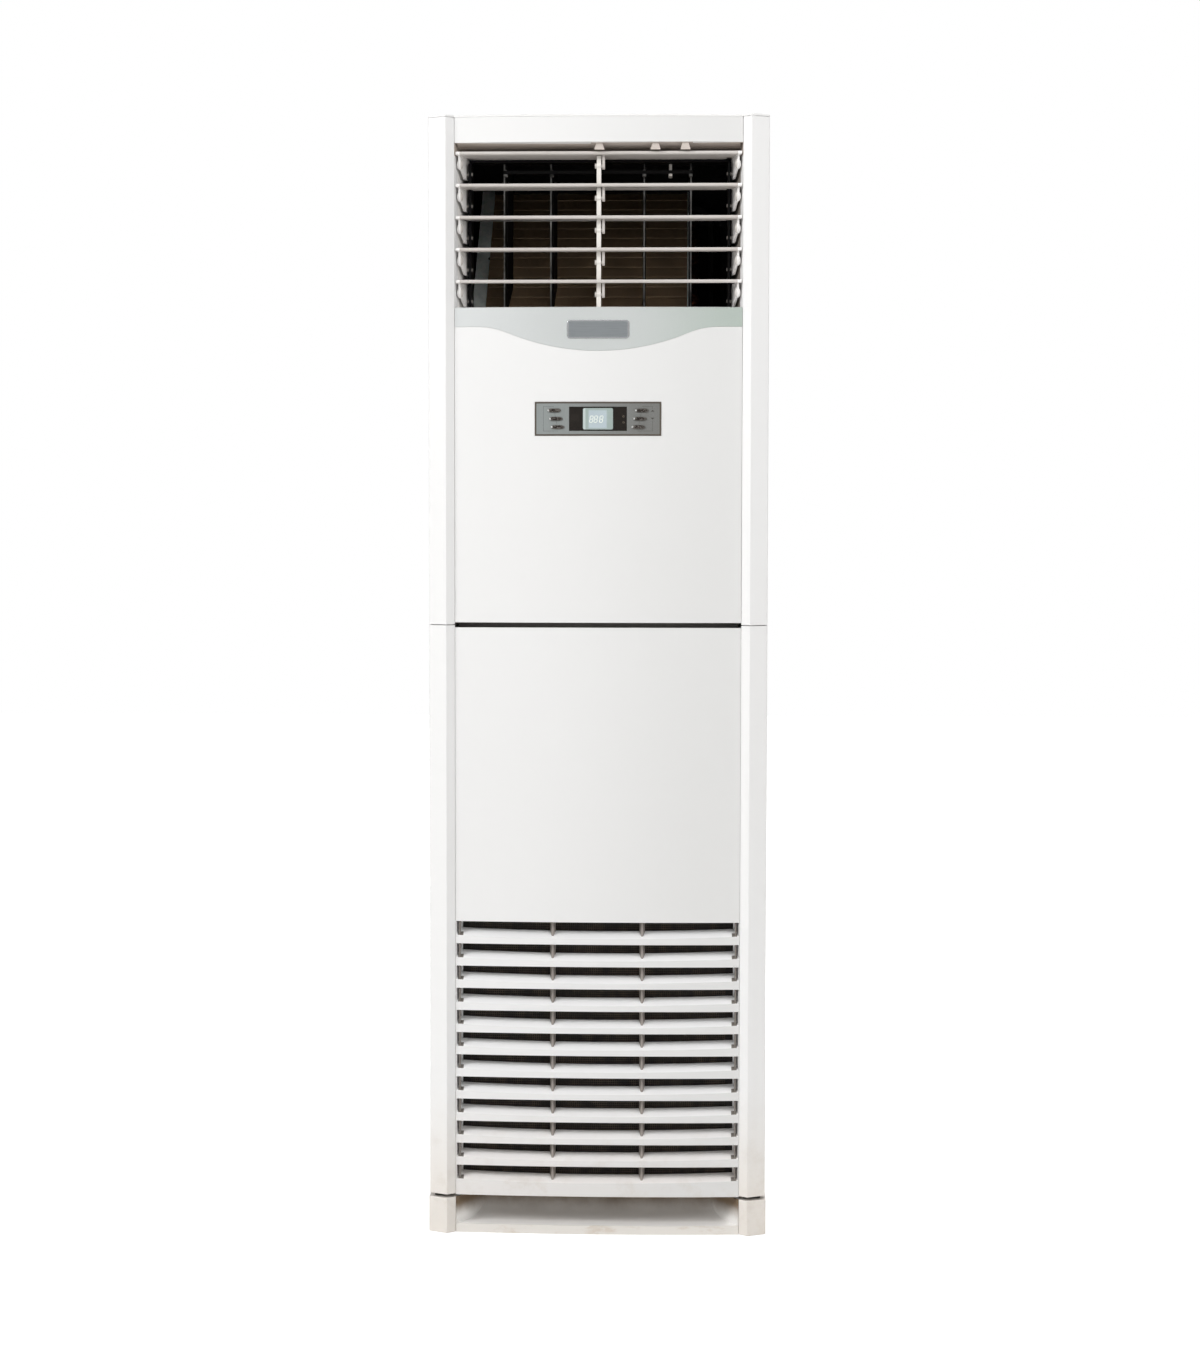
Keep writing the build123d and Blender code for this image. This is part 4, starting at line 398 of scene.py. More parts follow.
def powder_coated():
    """White powder coat on sheet steel: soft orange peel."""
    paint = Paint("powder_coated", Roughness=0.42, Coat_Weight=0.2, Coat_Roughness=0.3)
    peel = paint.noise(380.0, 2.0)
    cloud = paint.noise(2.4, 3.0)
    near_floor = 1 - paint.z.step(0, 200)
    # painted light: the warmer tint towards the floor stands for warm light bounced off the floor
    colour = paint.mix(linear(245, 245, 244), linear(232, 226, 218), cloud * 0.2 + near_floor * 0.6)
    stain = paint.noise(18.0, 5.0, 0.7, paint.stretched(1.0, 1.0, 3.0)).step(0.52, 0.72)
    colour = paint.mix(colour, linear(196, 172, 146), stain * (1 - paint.z.step(6, 60)) * 0.4)
    return paint.surface(colour, 0.36 + paint.noise(9.0, 4.0) * 0.12, height=peel, depth=0.00006)


def band_film():
    """Pearl film of the band: painted shade makes it cooler and darker to the right; fine sparkle."""
    paint = Paint("band_film", Roughness=0.4, Metallic=0.25, Coat_Weight=0.4, Coat_Roughness=0.15)
    # painted shade: the band darkens and cools from left to right
    base = paint.mix(linear(232, 235, 235), linear(216, 220, 219), paint.x.step(-240, -20))
    base = paint.mix(base, linear(190, 202, 194), paint.x.step(20, 250))
    fleck = paint.noise(2600.0, 1.0)
    colour = paint.mix(base, linear(245, 248, 246), fleck.step(0.55, 0.8) * 0.35)
    return paint.surface(colour, 0.3 + fleck * 0.2, height=fleck, depth=0.00001)


def satin_badge():
    """Blank plate of satin metal, brushed along its length, with a bright bevelled rim."""
    paint = Paint("satin_badge", Metallic=0.85)
    brush = paint.noise(900.0, 3.0, 0.6, paint.stretched(0.03, 1.0, 1.0))
    rim = abs(paint.x).step(*BADGE_RIM_X).most(abs(paint.z - BADGE_Z).step(*BADGE_RIM_Z))
    colour = paint.mix(linear(186, 192, 196), linear(236, 238, 240), rim)
    colour = paint.mix(colour, linear(150, 156, 160), brush.step(0.45, 0.7) * 0.25)
    return paint.surface(colour, 0.34 - rim * 0.14 + brush * 0.1, height=brush, depth=0.00001)


def outside(value, other, half, radius):
    """Signed distance outside a rounded rectangle of two half sizes around the middle."""
    across = (abs(value) - (half[0] - radius)).most(0.0)
    up = (abs(other) - (half[1] - radius)).most(0.0)
    return (across ** 2 + up ** 2) ** 0.5 - radius


def dotted(value, along):
    """A fine dotted line: 1 on the dots."""
    return stripe(value, 0.0, DOT_HALF, 0.15) * (along % DOT_PITCH).below(DOT_LENGTH)


def bezel_paint():
    """Silver grey paint of the control bezel, painted darker to the right as shade: dark border, dotted
    brackets, links and two arrows.
    """
    paint = Paint("bezel_paint", Metallic=0.3, Coat_Weight=0.2, Coat_Roughness=0.2)
    fleck = paint.noise(2200.0, 1.0)
    rise = paint.z - CONTROL_Z
    # painted shade: the bezel darkens from left to right
    colour = paint.mix(linear(155, 161, 160), linear(130, 130, 127), paint.x.step(-90, 95))
    colour = paint.mix(colour, linear(196, 202, 204), fleck.step(0.5, 0.75) * 0.3)
    inside = abs(rise).below(BRACKET_Z + 0.3)
    mark = None
    for side in (-1, 1):
        across = paint.x * side
        upright = dotted(across - BRACKET_X, rise) * inside
        if side > 0:
            upright = upright * (1 - rise.above(ARROW_GAP[0]) * rise.below(ARROW_GAP[1]))
        top = dotted(rise - BRACKET_Z, across) * across.above(BRACKET_TOP_X) * across.below(BRACKET_X)
        foot = dotted(rise + BRACKET_Z, across) * across.above(BRACKET_FOOT_X) * across.below(BRACKET_X)
        link = dotted(across - BUTTON_X - BUTTON_LEAN * rise, rise) * abs(rise).below(LINK_REACH)
        drawn = upright.most(top).most(foot).most(link)
        mark = drawn if mark is None else mark.most(drawn)
    for lift, way in ARROWS:
        height = (rise - lift) * way
        arrow = (abs(paint.x - BRACKET_X) + height).below(1.5) * height.above(-1.5)
        mark = mark.most(arrow)
    colour = paint.mix(colour, linear(58, 54, 48), mark * 0.75)
    border = outside(paint.x, rise, BEZEL_HALF, BEZEL_CORNER).above(-BEZEL_BORDER)
    colour = paint.mix(colour, linear(104, 97, 88), border)
    return paint.surface(colour, 0.36 + fleck * 0.1, height=fleck, depth=0.00001)


def button_metal():
    """Metallised button caps: a painted highlight at the left end, a painted dark reflection in the middle,
    grey rim.
    """
    paint = Paint("button_metal", Metallic=0.6, Coat_Weight=0.5, Coat_Roughness=0.1)
    rise = paint.z - CONTROL_Z
    side = paint.x.above(0.0) * 2 - 1
    local = paint.x - side * (BUTTON_X + BUTTON_LEAN * rise)
    lift = (rise + BUTTON_PITCH / 2) % BUTTON_PITCH - BUTTON_PITCH / 2
    brush = paint.noise(1500.0, 2.0, 0.5, paint.stretched(0.1, 1.0, 1.0))
    cloud = paint.noise(420.0, 2.0, 0.5, paint.stretched(1.0, 1.0, 2.0))
    oval = ((local / BUTTON_HALF[0]) ** 2 + (lift / BUTTON_HALF[1]) ** 2) ** 0.5
    # painted reflection: dark and grey mottling stands for the surroundings mirrored in the caps
    colour = paint.mix(linear(46, 38, 34), linear(138, 132, 126), cloud.step(0.5, 0.62))
    colour = paint.mix(colour, linear(122, 118, 112), oval.step(0.8, 1.05))
    # painted highlight: a bright spot at each cap's left end
    end_glint = 1 - ((local + BUTTON_HALF[0] + 0.2) ** 2 + lift ** 2).step(1.2, 5.0)
    colour = paint.mix(colour, linear(250, 250, 248), end_glint)
    return paint.surface(colour, 0.24 + brush * 0.2, height=brush, depth=0.00001)


def smoked_lens():
    """Smoked surround of the display, with a plain window at the left and two small marker rings."""
    paint = Paint("smoked_lens", Coat_Weight=0.12, Coat_Roughness=0.06)
    rise = paint.z - CONTROL_Z
    speck = paint.noise(700.0, 2.0)
    colour = paint.mix(linear(24, 20, 16), linear(34, 28, 22), paint.noise(60.0, 3.0))
    window = stripe(paint.x, WINDOW_MIDDLE[0], WINDOW_HALF[0], 1.5)
    window = window * stripe(rise, WINDOW_MIDDLE[1], WINDOW_HALF[1], 1.5)
    colour = paint.mix(colour, linear(36, 31, 26), window)
    for lift in MARKER_LIFTS:
        away = ((paint.x - MARKER_X) ** 2 + (rise - lift) ** 2) ** 0.5
        colour = paint.mix(colour, linear(128, 118, 104), stripe(away, MARKER_RADIUS, 0.2, 0.25) * 0.7)
    return paint.surface(colour, 0.2 + speck * 0.06, height=speck, depth=0.000005)


def lcd_face():
    """Pale display face: cool middle, greener rim, faint cell grid, dark outside its round corners."""
    paint = Paint("lcd_face", Roughness=0.3, Coat_Weight=0.4, Coat_Roughness=0.08, Emission_Strength=0.1)
    rise = paint.z - CONTROL_Z
    inside = (1 - abs(paint.x + 0.4).step(13, 15.5)) * (1 - abs(rise + 0.6).step(12.5, 15.5))
    colour = paint.mix(linear(150, 165, 161), linear(166, 180, 189), inside)
    colour = paint.mix(colour, linear(206, 216, 214), stripe(paint.x, -21.6, 1.2, 1.4) * 0.6)
    columns = stripe(paint.x % LCD_CELL, LCD_CELL / 2, 0.16, 0.12)
    grid = columns.most(stripe(paint.z % LCD_CELL, LCD_CELL / 2, 0.16, 0.12))
    haze = grid * 0.35 * inside + paint.noise(120.0, 3.0) * 0.15
    colour = paint.mix(colour, linear(212, 222, 220), haze)
    outer = outside(paint.x, rise, LCD_SIZE, LCD_CORNER).above(0.0)
    colour = paint.mix(colour, linear(40, 35, 29), outer)
    return paint.surface(colour, 0.22 + grid * 0.06, glow=colour, height=grid, depth=0.00001)


def blade_plastic():
    """Warm grey moulding of the outlet blades; their end arms are painted whiter as painted light."""
    paint = Paint("blade_plastic")
    patch = paint.noise(6.0, 4.0, 0.6)
    fine = paint.noise(84.0, 2.0)
    colour = paint.mix(linear(210, 205, 201), linear(200, 194, 189), patch.step(0.3, 0.7))
    # painted light: the end arms are whitened as if lit from the front
    arm = (abs(paint.x) + (paint.y - BLADE_NOSE_Y) * ARM_TAPER).above(ARM_X)
    colour = paint.mix(colour, linear(250, 248, 246), arm)
    return paint.surface(colour, 0.35 + patch * 0.1, height=fine + patch * 0.5, depth=0.00002)


def vane_plastic():
    """Matt black vanes with a painted highlight: a thin light line, broken by noise, along the front edge.
    """
    paint = Paint("vane_plastic", Specular_IOR_Level=0.2)
    fine = paint.noise(420.0, 2.0)
    patchy = paint.noise(30.0, 4.0, 0.6)
    colour = paint.mix(linear(7, 7, 7), linear(14, 13, 12), patchy)
    # painted highlight along the vanes' front edge
    edge = paint.y.below(VANE_EDGE_Y) * patchy.step(0.3, 0.6)
    colour = paint.mix(colour, linear(128, 128, 126), edge)
    return paint.surface(colour, 0.5 + fine * 0.1, height=fine, depth=0.00002)


def lagged_pipe():
    """Pipes in black foam lagging, bare copper where they end at the nuts."""
    paint = Paint("lagged_pipe")
    bare = paint.y.step(*BARE_PIPE_Y) * (1 - paint.z.step(*BARE_PIPE_Z))
    pores = paint.noise(600.0, 3.0)
    colour = paint.mix(linear(15, 15, 15), linear(30, 29, 28), pores)
    colour = paint.mix(colour, linear(198, 126, 90), bare)
    return paint.surface(colour, 0.9 - bare * 0.6, metal=bare, height=pores * (1 - bare), depth=0.0003)


def plain(name, face, second, scale, rough, depth, metal=0.0, **finish):
    """A finish of two near colours mottled together, with roughness and relief to match."""
    paint = Paint(name, Metallic=metal, **finish)
    patch = paint.noise(scale, 4.0, 0.6)
    fine = paint.noise(scale * 14, 2.0)
    colour = paint.mix(linear(*face), linear(*second), patch.step(0.3, 0.7))
    return paint.surface(colour, rough - 0.05 + patch * 0.1, height=fine + patch * 0.5, depth=depth)


def galvanised():
    """Hot dip galvanised sheet: bluish spangles, dull streaks and a painted dark disc for the shaded inside
    of a small hole in the end plate.
    """
    paint = Paint("galvanised", Metallic=0.1)
    spangle = paint.cells(110.0)
    channels = paint.node("ShaderNodeSeparateColor", {}, Color=spangle.outputs["Color"])
    tone = Value(paint, channels.outputs[0])
    colour = paint.mix(linear(232, 242, 238), linear(248, 252, 248), tone)
    streak = paint.noise(40.0, 4.0, 0.6, paint.stretched(1.0, 1.0, 0.1))
    colour = paint.mix(colour, linear(150, 162, 162), streak.step(0.5, 0.8) * 0.4)
    away = (paint.x - PLATE_HOLE[0]) ** 2 + (paint.z - PLATE_HOLE[1]) ** 2
    hole = away.below(PLATE_HOLE_SQUARE) * paint.y.below(PLATE_BACK)
    # painted shade: a near black disc where the end plate has a hole
    colour = paint.mix(colour, linear(12, 12, 12), hole)
    return paint.surface(colour, 0.34 + tone * 0.16, height=tone, depth=0.00002)


def fin_pack():
    """Coated aluminium fins: warm brown mottled with dust, painted lighter towards the foot where more light
    gets in.
    """
    paint = Paint("fin_pack", Metallic=0.1)
    # painted light: the lower fins are lighter
    low = 1 - paint.z.step(*FIN_LIGHT_Z)
    dusty = paint.noise(60.0, 4.0, 0.6)
    colour = paint.mix(linear(166, 144, 118), linear(192, 168, 138), low * 0.6 + dusty * 0.3)
    return paint.surface(colour, 0.5 + dusty * 0.2, height=dusty, depth=0.00005)


def fin_edges():
    """Bare rolled edges across the fins, brightened near white: bare metal with a painted highlight where
    light catches.
    """
    paint = Paint("fin_edges", Specular_IOR_Level=0.8)
    grime = paint.noise(140.0, 3.0)
    # painted highlight: the near white colour brightens the edges
    colour = paint.mix(linear(255, 244, 228), linear(244, 224, 200), grime)
    return paint.surface(colour, 0.38 + grime * 0.15, height=grime, depth=0.00004)


def copper():
    """Drawn copper, dulled dark by oxide."""
    paint = Paint("copper", Metallic=0.9)
    oxide = paint.noise(35.0, 5.0, 0.65).step(0.3, 0.65)
    colour = paint.mix(linear(120, 75, 52), linear(50, 35, 28), oxide)
    return paint.surface(colour, 0.26 + oxide * 0.3, height=oxide, depth=0.00002)


def foam():
    """Dark open foam."""
    paint = Paint("foam", Roughness=0.95)
    pores = Value(paint, paint.cells(420.0).outputs["Distance"])
    colour = paint.mix(linear(7, 7, 7), linear(24, 23, 22), pores.step(0.1, 0.6))
    return paint.surface(colour, 0.92 + pores * 0.05, height=pores, depth=0.0006)


def weave_thread():
    """Nylon thread of the air filter, dusted brown."""
    paint = Paint("weave_thread", Roughness=0.6)
    dusty = paint.noise(55.0, 4.0, 0.6)
    colour = paint.mix(linear(38, 33, 29), linear(84, 71, 58), dusty.step(0.35, 0.7))
    return paint.surface(colour, 0.55 + dusty * 0.2, height=dusty, depth=0.00003)


def board():
    """Green solder mask with traces."""
    paint = Paint("board", Coat_Weight=0.3)
    tracks = stripe(paint.x % 3.2, 1.6, 0.35, 0.15) * paint.noise(90.0, 1.0).above(0.5)
    colour = paint.mix(linear(22, 84, 44), linear(40, 120, 70), tracks)
    return paint.surface(colour, 0.4 + tracks * 0.1, height=tracks, depth=0.00003)


white = (247, 247, 247)
finishes = {
    "cabinet_plastic": moulded("cabinet_plastic", white, (236, 226, 214), 0.4, 0.00003),
    "intake_plastic": moulded("intake_plastic", white, (236, 228, 222), 0.4, 0.00003),
    "duct_plastic": duct_plastic(),
    "painted_sheet": powder_coated(),
    "band_film": band_film(),
    "badge": satin_badge(),
    "bezel_silver": bezel_paint(),
    "button_silver": button_metal(),
    "lens_smoke": smoked_lens(),
    "lcd": lcd_face(),
    "circuit_board": board(),
    "blade_plastic": blade_plastic(),
    "link_plastic": plain("link_plastic", (238, 234, 228), (226, 221, 214), 20.0, 0.4, 0.00002),
    "dark_plastic": plain("dark_plastic", (6, 6, 6), (12, 11, 11), 30.0, 0.5, 0.00003,
                          Specular_IOR_Level=0.2),
    "small_motor": plain("small_motor", (150, 152, 154), (120, 122, 124), 40.0, 0.35, 0.00003, metal=0.8),
    "fin_aluminium": fin_pack(),
    "galvanised": galvanised(),
    "copper": copper(),
    "nut_brass": plain("nut_brass", (206, 176, 112), (168, 138, 84), 60.0, 0.28, 0.00002, metal=1.0),
    "drain_plastic": plain("drain_plastic", (30, 30, 31), (44, 44, 45), 20.0, 0.5, 0.00004),
    "drain_hose": plain("drain_hose", (206, 206, 202), (188, 188, 184), 20.0, 0.5, 0.00004),
    "wheel_plastic": plain("wheel_plastic", (26, 26, 28), (38, 38, 40), 25.0, 0.45, 0.00003),
    "fan_motor": plain("fan_motor", (40, 42, 44), (56, 58, 60), 30.0, 0.4, 0.00006),
    "terminal_plastic": plain("terminal_plastic", (24, 24, 24), (36, 36, 36), 40.0, 0.4, 0.00003),
    "gland_plastic": plain("gland_plastic", (20, 20, 20), (34, 34, 34), 60.0, 0.45, 0.00003),
    "screw_steel": plain("screw_steel", (184, 186, 188), (150, 152, 156), 90.0, 0.3, 0.00002, metal=1.0),
    "foam": foam(),
    "filter_mesh": plain("filter_mesh", (24, 21, 19), (38, 33, 29), 60.0, 0.8, 0.00005),
}
slot_of = {entry["node"]: entry["material_slot"] for entry in frame["record"]["subparts"]}
bodies = frame["record"]["behaviour"]["bodies"]
body_of = {node: body for body, held in bodies.items() for node in held}


# ---- making pieces ----
def wear(piece, body, slot, finish=None):
    """Gives a finished piece its body and a material, by default the finish of its record slot."""
    piece.data.materials.clear()
    piece.data.materials.append(finish or finishes[slot])
    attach(piece, body)
    return piece


def solid(name, shape):
    """New object from a bmesh, whose place is in its mesh."""
    mesh = bpy.data.meshes.new(name)
    shape.to_mesh(mesh)
    shape.free()
    piece = bpy.data.objects.new(name, mesh)
    bpy.context.scene.collection.objects.link(piece)
    return piece


def settle(piece):
    """Bakes a piece's modifiers into a plain mesh."""
    bpy.context.view_layer.update()
    mesh = bpy.data.meshes.new_from_object(piece.evaluated_get(bpy.context.evaluated_depsgraph_get()))
    piece.modifiers.clear()
    piece.data = mesh
    mesh.name = piece.name
    return piece


def softened(node, width, segments=2, angle=28):
    """A copy of a CAD node with its edges rounded; it stands for the node."""
    shape = bmesh.new()
    shape.from_mesh(nodes[node].data)
    bmesh.ops.remove_doubles(shape, verts=shape.verts, dist=2e-6)
    bmesh.ops.dissolve_limit(shape, angle_limit=radians(0.05), verts=shape.verts, edges=shape.edges)
    piece = solid("finished_" + node, shape)
    bevel = piece.modifiers.new("round", "BEVEL")
    bevel.width = width * MM
    bevel.segments = segments
    bevel.limit_method = "ANGLE"
    bevel.angle_limit = radians(angle)
    bevel.use_clamp_overlap = True
    bevel.miter_outer = "MITER_ARC"
    for face in piece.data.polygons:
        face.use_smooth = True
    settle(piece)
    piece.data.set_sharp_from_angle(angle=radians(36))
    weighted = piece.modifiers.new("shade", "WEIGHTED_NORMAL")
    weighted.keep_sharp = True
    settle(piece)
    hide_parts(node)
    return wear(piece, body_of[node], slot_of[node], special.get(node))


vanes = [f"vane_{number + 1}" for number in range(VANE_COUNT)]
special = {vane: vane_plastic() for vane in vanes}
special["refrigerant_pipes"] = lagged_pipe()
special["toe_scoop"] = toe_space()
for name, node in nodes.items():
    node.data.materials.clear()
    node.data.materials.append(special.get(name) or finishes[slot_of[name]])

rounded = {
    1.2: ["left_upper_column", "right_upper_column", "left_lower_column", "right_lower_column",
          "plinth_blocks", "intake_panel"],
    0.8: ["head_bar", "upper_front_panel", "base_plate", "toe_scoop"],
    0.5: ["outlet_duct", "blade_1", "blade_2", "blade_3", "blade_4", "blade_5", "control_bezel"],
    0.3: ["link_bar", "accent_band", "badge_plate", "top_cover", "side_panels", "rear_panel",
          "display_lens", "vane_frame"] + vanes,
    0.6: [f"button_{number + 1}" for number in range(BUTTON_COUNT)],
}
for width, names in rounded.items():
    for name in names:
        softened(name, width)


# ---- what repeats, with Geometry Nodes ----
class Tree:
    """A Geometry Nodes tree with named sizes that ends in Realize Instances and Set Material."""

    def __init__(self, name, **sizes):
        self.tree = bpy.data.node_groups.new(name, "GeometryNodeTree")
        face = self.tree.interface
        self.sizes = sizes
        self.ids = {}
        for size in sizes:
            self.ids[size] = face.new_socket(size, in_out="INPUT", socket_type="NodeSocketFloat").identifier
        face.new_socket("Geometry", in_out="OUTPUT", socket_type="NodeSocketGeometry")
        self.inputs = self.node("NodeGroupInput", {})

    def size(self, name):
        return self.inputs.outputs[name]

    def node(self, kind, settings, *terms, **inputs):
        node = self.tree.nodes.new(kind)
        for name, value in settings.items():
            setattr(node, name, value)
        pairs = list(zip(node.inputs, terms))
        pairs += [(node.inputs[name.replace("_", " ")], term) for name, term in inputs.items()]
        for socket, term in pairs:
            if isinstance(term, bpy.types.NodeSocket):
                self.tree.links.new(term, socket)
            elif term is not None:
                socket.default_value = term
        return node

    def maths(self, operation, *terms):
        return self.node("ShaderNodeMath", {"operation": operation}, *terms).outputs[0]

    def vector(self, x=0.0, y=0.0, z=0.0):
        return self.node("ShaderNodeCombineXYZ", {}, x, y, z).outputs[0]

    def finish(self, geometry, finish):
        whole = self.node("GeometryNodeRealizeInstances", {}, geometry).outputs[0]
        painted = self.node("GeometryNodeSetMaterial", {}, whole, None, finish).outputs[0]
        output = self.node("NodeGroupOutput", {})
        self.tree.links.new(painted, output.inputs[0])

    def piece(self, name):
        """Runs the tree on an empty mesh and keeps the plain result."""
        piece = bpy.data.objects.new(name, bpy.data.meshes.new(name))
        bpy.context.scene.collection.objects.link(piece)
        modifier = piece.modifiers.new("make", "NODES")
        modifier.node_group = self.tree
        for size, value in self.sizes.items():
            modifier[self.ids[size]] = float(value)
        return settle(piece)


def row_of_bars(name, count, finish, **sizes):
    """Equal bars in a row along X: named sizes give the pitch and one bar's size."""
    tree = Tree(name, count=count, **sizes)
    one = tree.vector(tree.size("wide"), tree.size("deep"), tree.size("tall"))
    bar = tree.node("GeometryNodeMeshCube", {}, one).outputs[0]
    line = tree.node("GeometryNodeMeshLine", {"mode": "OFFSET"})
    tree.tree.links.new(tree.size("count"), line.inputs["Count"])
    tree.tree.links.new(tree.vector(tree.size("pitch")), line.inputs["Offset"])
    bars = tree.node("GeometryNodeInstanceOnPoints", {}, line.outputs[0], Instance=bar).outputs[0]
    tree.finish(bars, finish)
    return tree.piece(name)


def put(piece, matrix):
    """Moves a piece's place into its mesh."""
    piece.data.transform(matrix)
    piece.data.update()
    return piece


def joined(name, pieces):
    """One mesh from several."""
    shape = bmesh.new()
    for piece in pieces:
        shape.from_mesh(piece.data)
        bpy.data.objects.remove(piece)
    return solid(name, shape)


def coil_matrix(x, along, deep):
    """Placement on the leaning coil: local X across, Y up the slope, Z out of its front."""
    lean = Matrix.Rotation(radians(COIL_LEAN), 4, "X")
    origin = Matrix.Translation(Vector((0, COIL_FOOT[0], COIL_FOOT[1])) * MM)
    return origin @ lean @ Matrix.Translation(Vector((x, along, -deep)) * MM)


def fin_stack():
    """Fins on edge over a core block in the same finish, standing for the coil's block."""
    wide = COIL_X[1] - COIL_X[0]
    count = int(wide / FIN_PITCH)
    fins = row_of_bars("fin_row", count, finishes["fin_aluminium"], pitch=FIN_PITCH * MM,
                       wide=FIN_WALL * MM, deep=(COIL_LENGTH - 1.0) * MM, tall=FIN_DEPTH * MM)
    put(fins, coil_matrix(COIL_X[0] + FIN_PITCH / 2, COIL_LENGTH / 2, FIN_DEPTH / 2 + 0.2))
    core = bmesh.new()
    bmesh.ops.create_cube(core, size=1.0)
    thick = COIL_THICK - FIN_DEPTH
    scale = Matrix.Diagonal((wide * MM, COIL_LENGTH * MM, thick * MM, 1))
    place = coil_matrix((COIL_X[0] + COIL_X[1]) / 2, COIL_LENGTH / 2, FIN_DEPTH + thick / 2)
    bmesh.ops.transform(core, matrix=place @ scale, verts=core.verts)
    bmesh.ops.bevel(core, geom=core.edges[:], offset=0.4 * MM, segments=1, affect="EDGES")
    stack = joined("fin_stack", [fins, solid("core", core)])
    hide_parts("coil_fins")
    return wear(stack, "cabinet", "fin_aluminium")


def fin_rails():
    """Lighter rolled edges across the fins, one at each row of tubes."""
    rails = row_of_bars("fin_rails", TUBE_COUNT, fin_edges(), pitch=TUBE_PITCH * MM,
                        wide=RAIL_SIZE[0] * MM, deep=(COIL_X[1] - COIL_X[0] - 1.0) * MM,
                        tall=RAIL_SIZE[1] * MM)
    turn = Matrix.Rotation(radians(90), 4, "Z")
    put(rails, coil_matrix((COIL_X[0] + COIL_X[1]) / 2, TUBE_FIRST, 0.5) @ turn)
    material = rails.data.materials[0]
    return wear(rails, "cabinet", "fin_aluminium", material)


def filter_weave():
    """Two layers of threads across the air filter's frame."""
    wide, tall = FILTER_X[1] - FILTER_X[0], FILTER_Z[1] - FILTER_Z[0]
    thread = {"pitch": THREAD_PITCH * MM, "wide": THREAD_SIZE[0] * MM, "deep": THREAD_SIZE[1] * MM}
    uprights = row_of_bars("weave_up", int(wide / THREAD_PITCH) + 1, None, tall=tall * MM, **thread)
    put(uprights, Matrix.Translation(Vector((FILTER_X[0], FILTER_Y - 0.45, FILTER_Z[0] + tall / 2)) * MM))
    levels = row_of_bars("weave_across", int(tall / THREAD_PITCH) + 1, None, tall=wide * MM, **thread)
    turn = Matrix.Rotation(radians(-90), 4, "Y")
    put(levels, Matrix.Translation(Vector((0, FILTER_Y - 0.2, FILTER_Z[0])) * MM) @ turn)
    return wear(joined("filter_weave", [uprights, levels]), "air_filter", "filter_mesh", weave_thread())


def rear_screws():
    """Pan head screws with cross recesses at the CAD screws' places."""
    head = bmesh.new()
    rows = []
    for radius, lift in SCREW_PROFILE:
        turns = [2 * pi * k / SCREW_SIDES for k in range(SCREW_SIDES if radius else 1)]
        rows.append([head.verts.new((radius * MM * cos(turn), lift * MM, radius * MM * sin(turn)))
                     for turn in turns])
    for low, high in zip(rows, rows[1:]):
        for k in range(SCREW_SIDES):
            after = (k + 1) % SCREW_SIDES
            around = ((low, k), (low, after), (high, after), (high, k))
            corners = [row[turn % len(row)] for row, turn in around]
            head.faces.new(list(dict.fromkeys(corners)))
    bmesh.ops.recalc_face_normals(head, faces=head.faces)
    master = solid("screw_head", head)
    for turn in (0, 90):
        blade = bmesh.new()
        bmesh.ops.create_cube(blade, size=1.0)
        size = Matrix.Diagonal([side * MM for side in RECESS_SIZE] + [1])
        place = Matrix.Translation((0, SCREW_HEIGHT * MM, 0)) @ Matrix.Rotation(radians(turn), 4, "Y")
        bmesh.ops.transform(blade, verts=blade.verts, matrix=place @ size)
        cutter = solid("slot_cutter", blade)
        cut = master.modifiers.new("slot", "BOOLEAN")
        cut.object = cutter
        cut.operation = "DIFFERENCE"
        settle(master)
        bpy.data.objects.remove(cutter)
    shape = bmesh.new()
    shape.from_mesh(nodes["cabinet_screws"].data)
    low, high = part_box("cabinet_screws")
    bmesh.ops.remove_doubles(shape, verts=shape.verts, dist=1e-6)
    rim = SCREW_RIM * MM
    step = (high.z - low.z - 2 * rim) / (SCREW_ROWS - 1)
    places = set()
    for vert in shape.verts:
        side = 1 if vert.co.x > 0 else -1
        places.add((side, round((vert.co.z - low.z - rim) / step)))
    shape.free()
    seat = high.y - SCREW_HEIGHT * MM
    points = bpy.data.meshes.new("screw_points")
    points.from_pydata([(side * (high.x - rim), seat, low.z + rim + row * step)
                        for side, row in sorted(places)], [], [])
    holder = bpy.data.objects.new("rear_screws", points)
    bpy.context.scene.collection.objects.link(holder)
    tree = Tree("screw_tree")
    face = tree.tree.interface
    face.new_socket("Points", in_out="INPUT", socket_type="NodeSocketGeometry")
    face.move(face.items_tree["Points"], 0)
    info = tree.node("GeometryNodeObjectInfo", {})
    info.inputs["Object"].default_value = master
    heads = tree.node("GeometryNodeInstanceOnPoints", {}, tree.inputs.outputs["Points"],
                      Instance=info.outputs["Geometry"]).outputs[0]
    tree.finish(heads, finishes["screw_steel"])
    holder.modifiers.new("make", "NODES").node_group = tree.tree
    settle(holder)
    bpy.data.objects.remove(master)
    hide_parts("cabinet_screws")
    return wear(holder, "cabinet", "screw_steel")


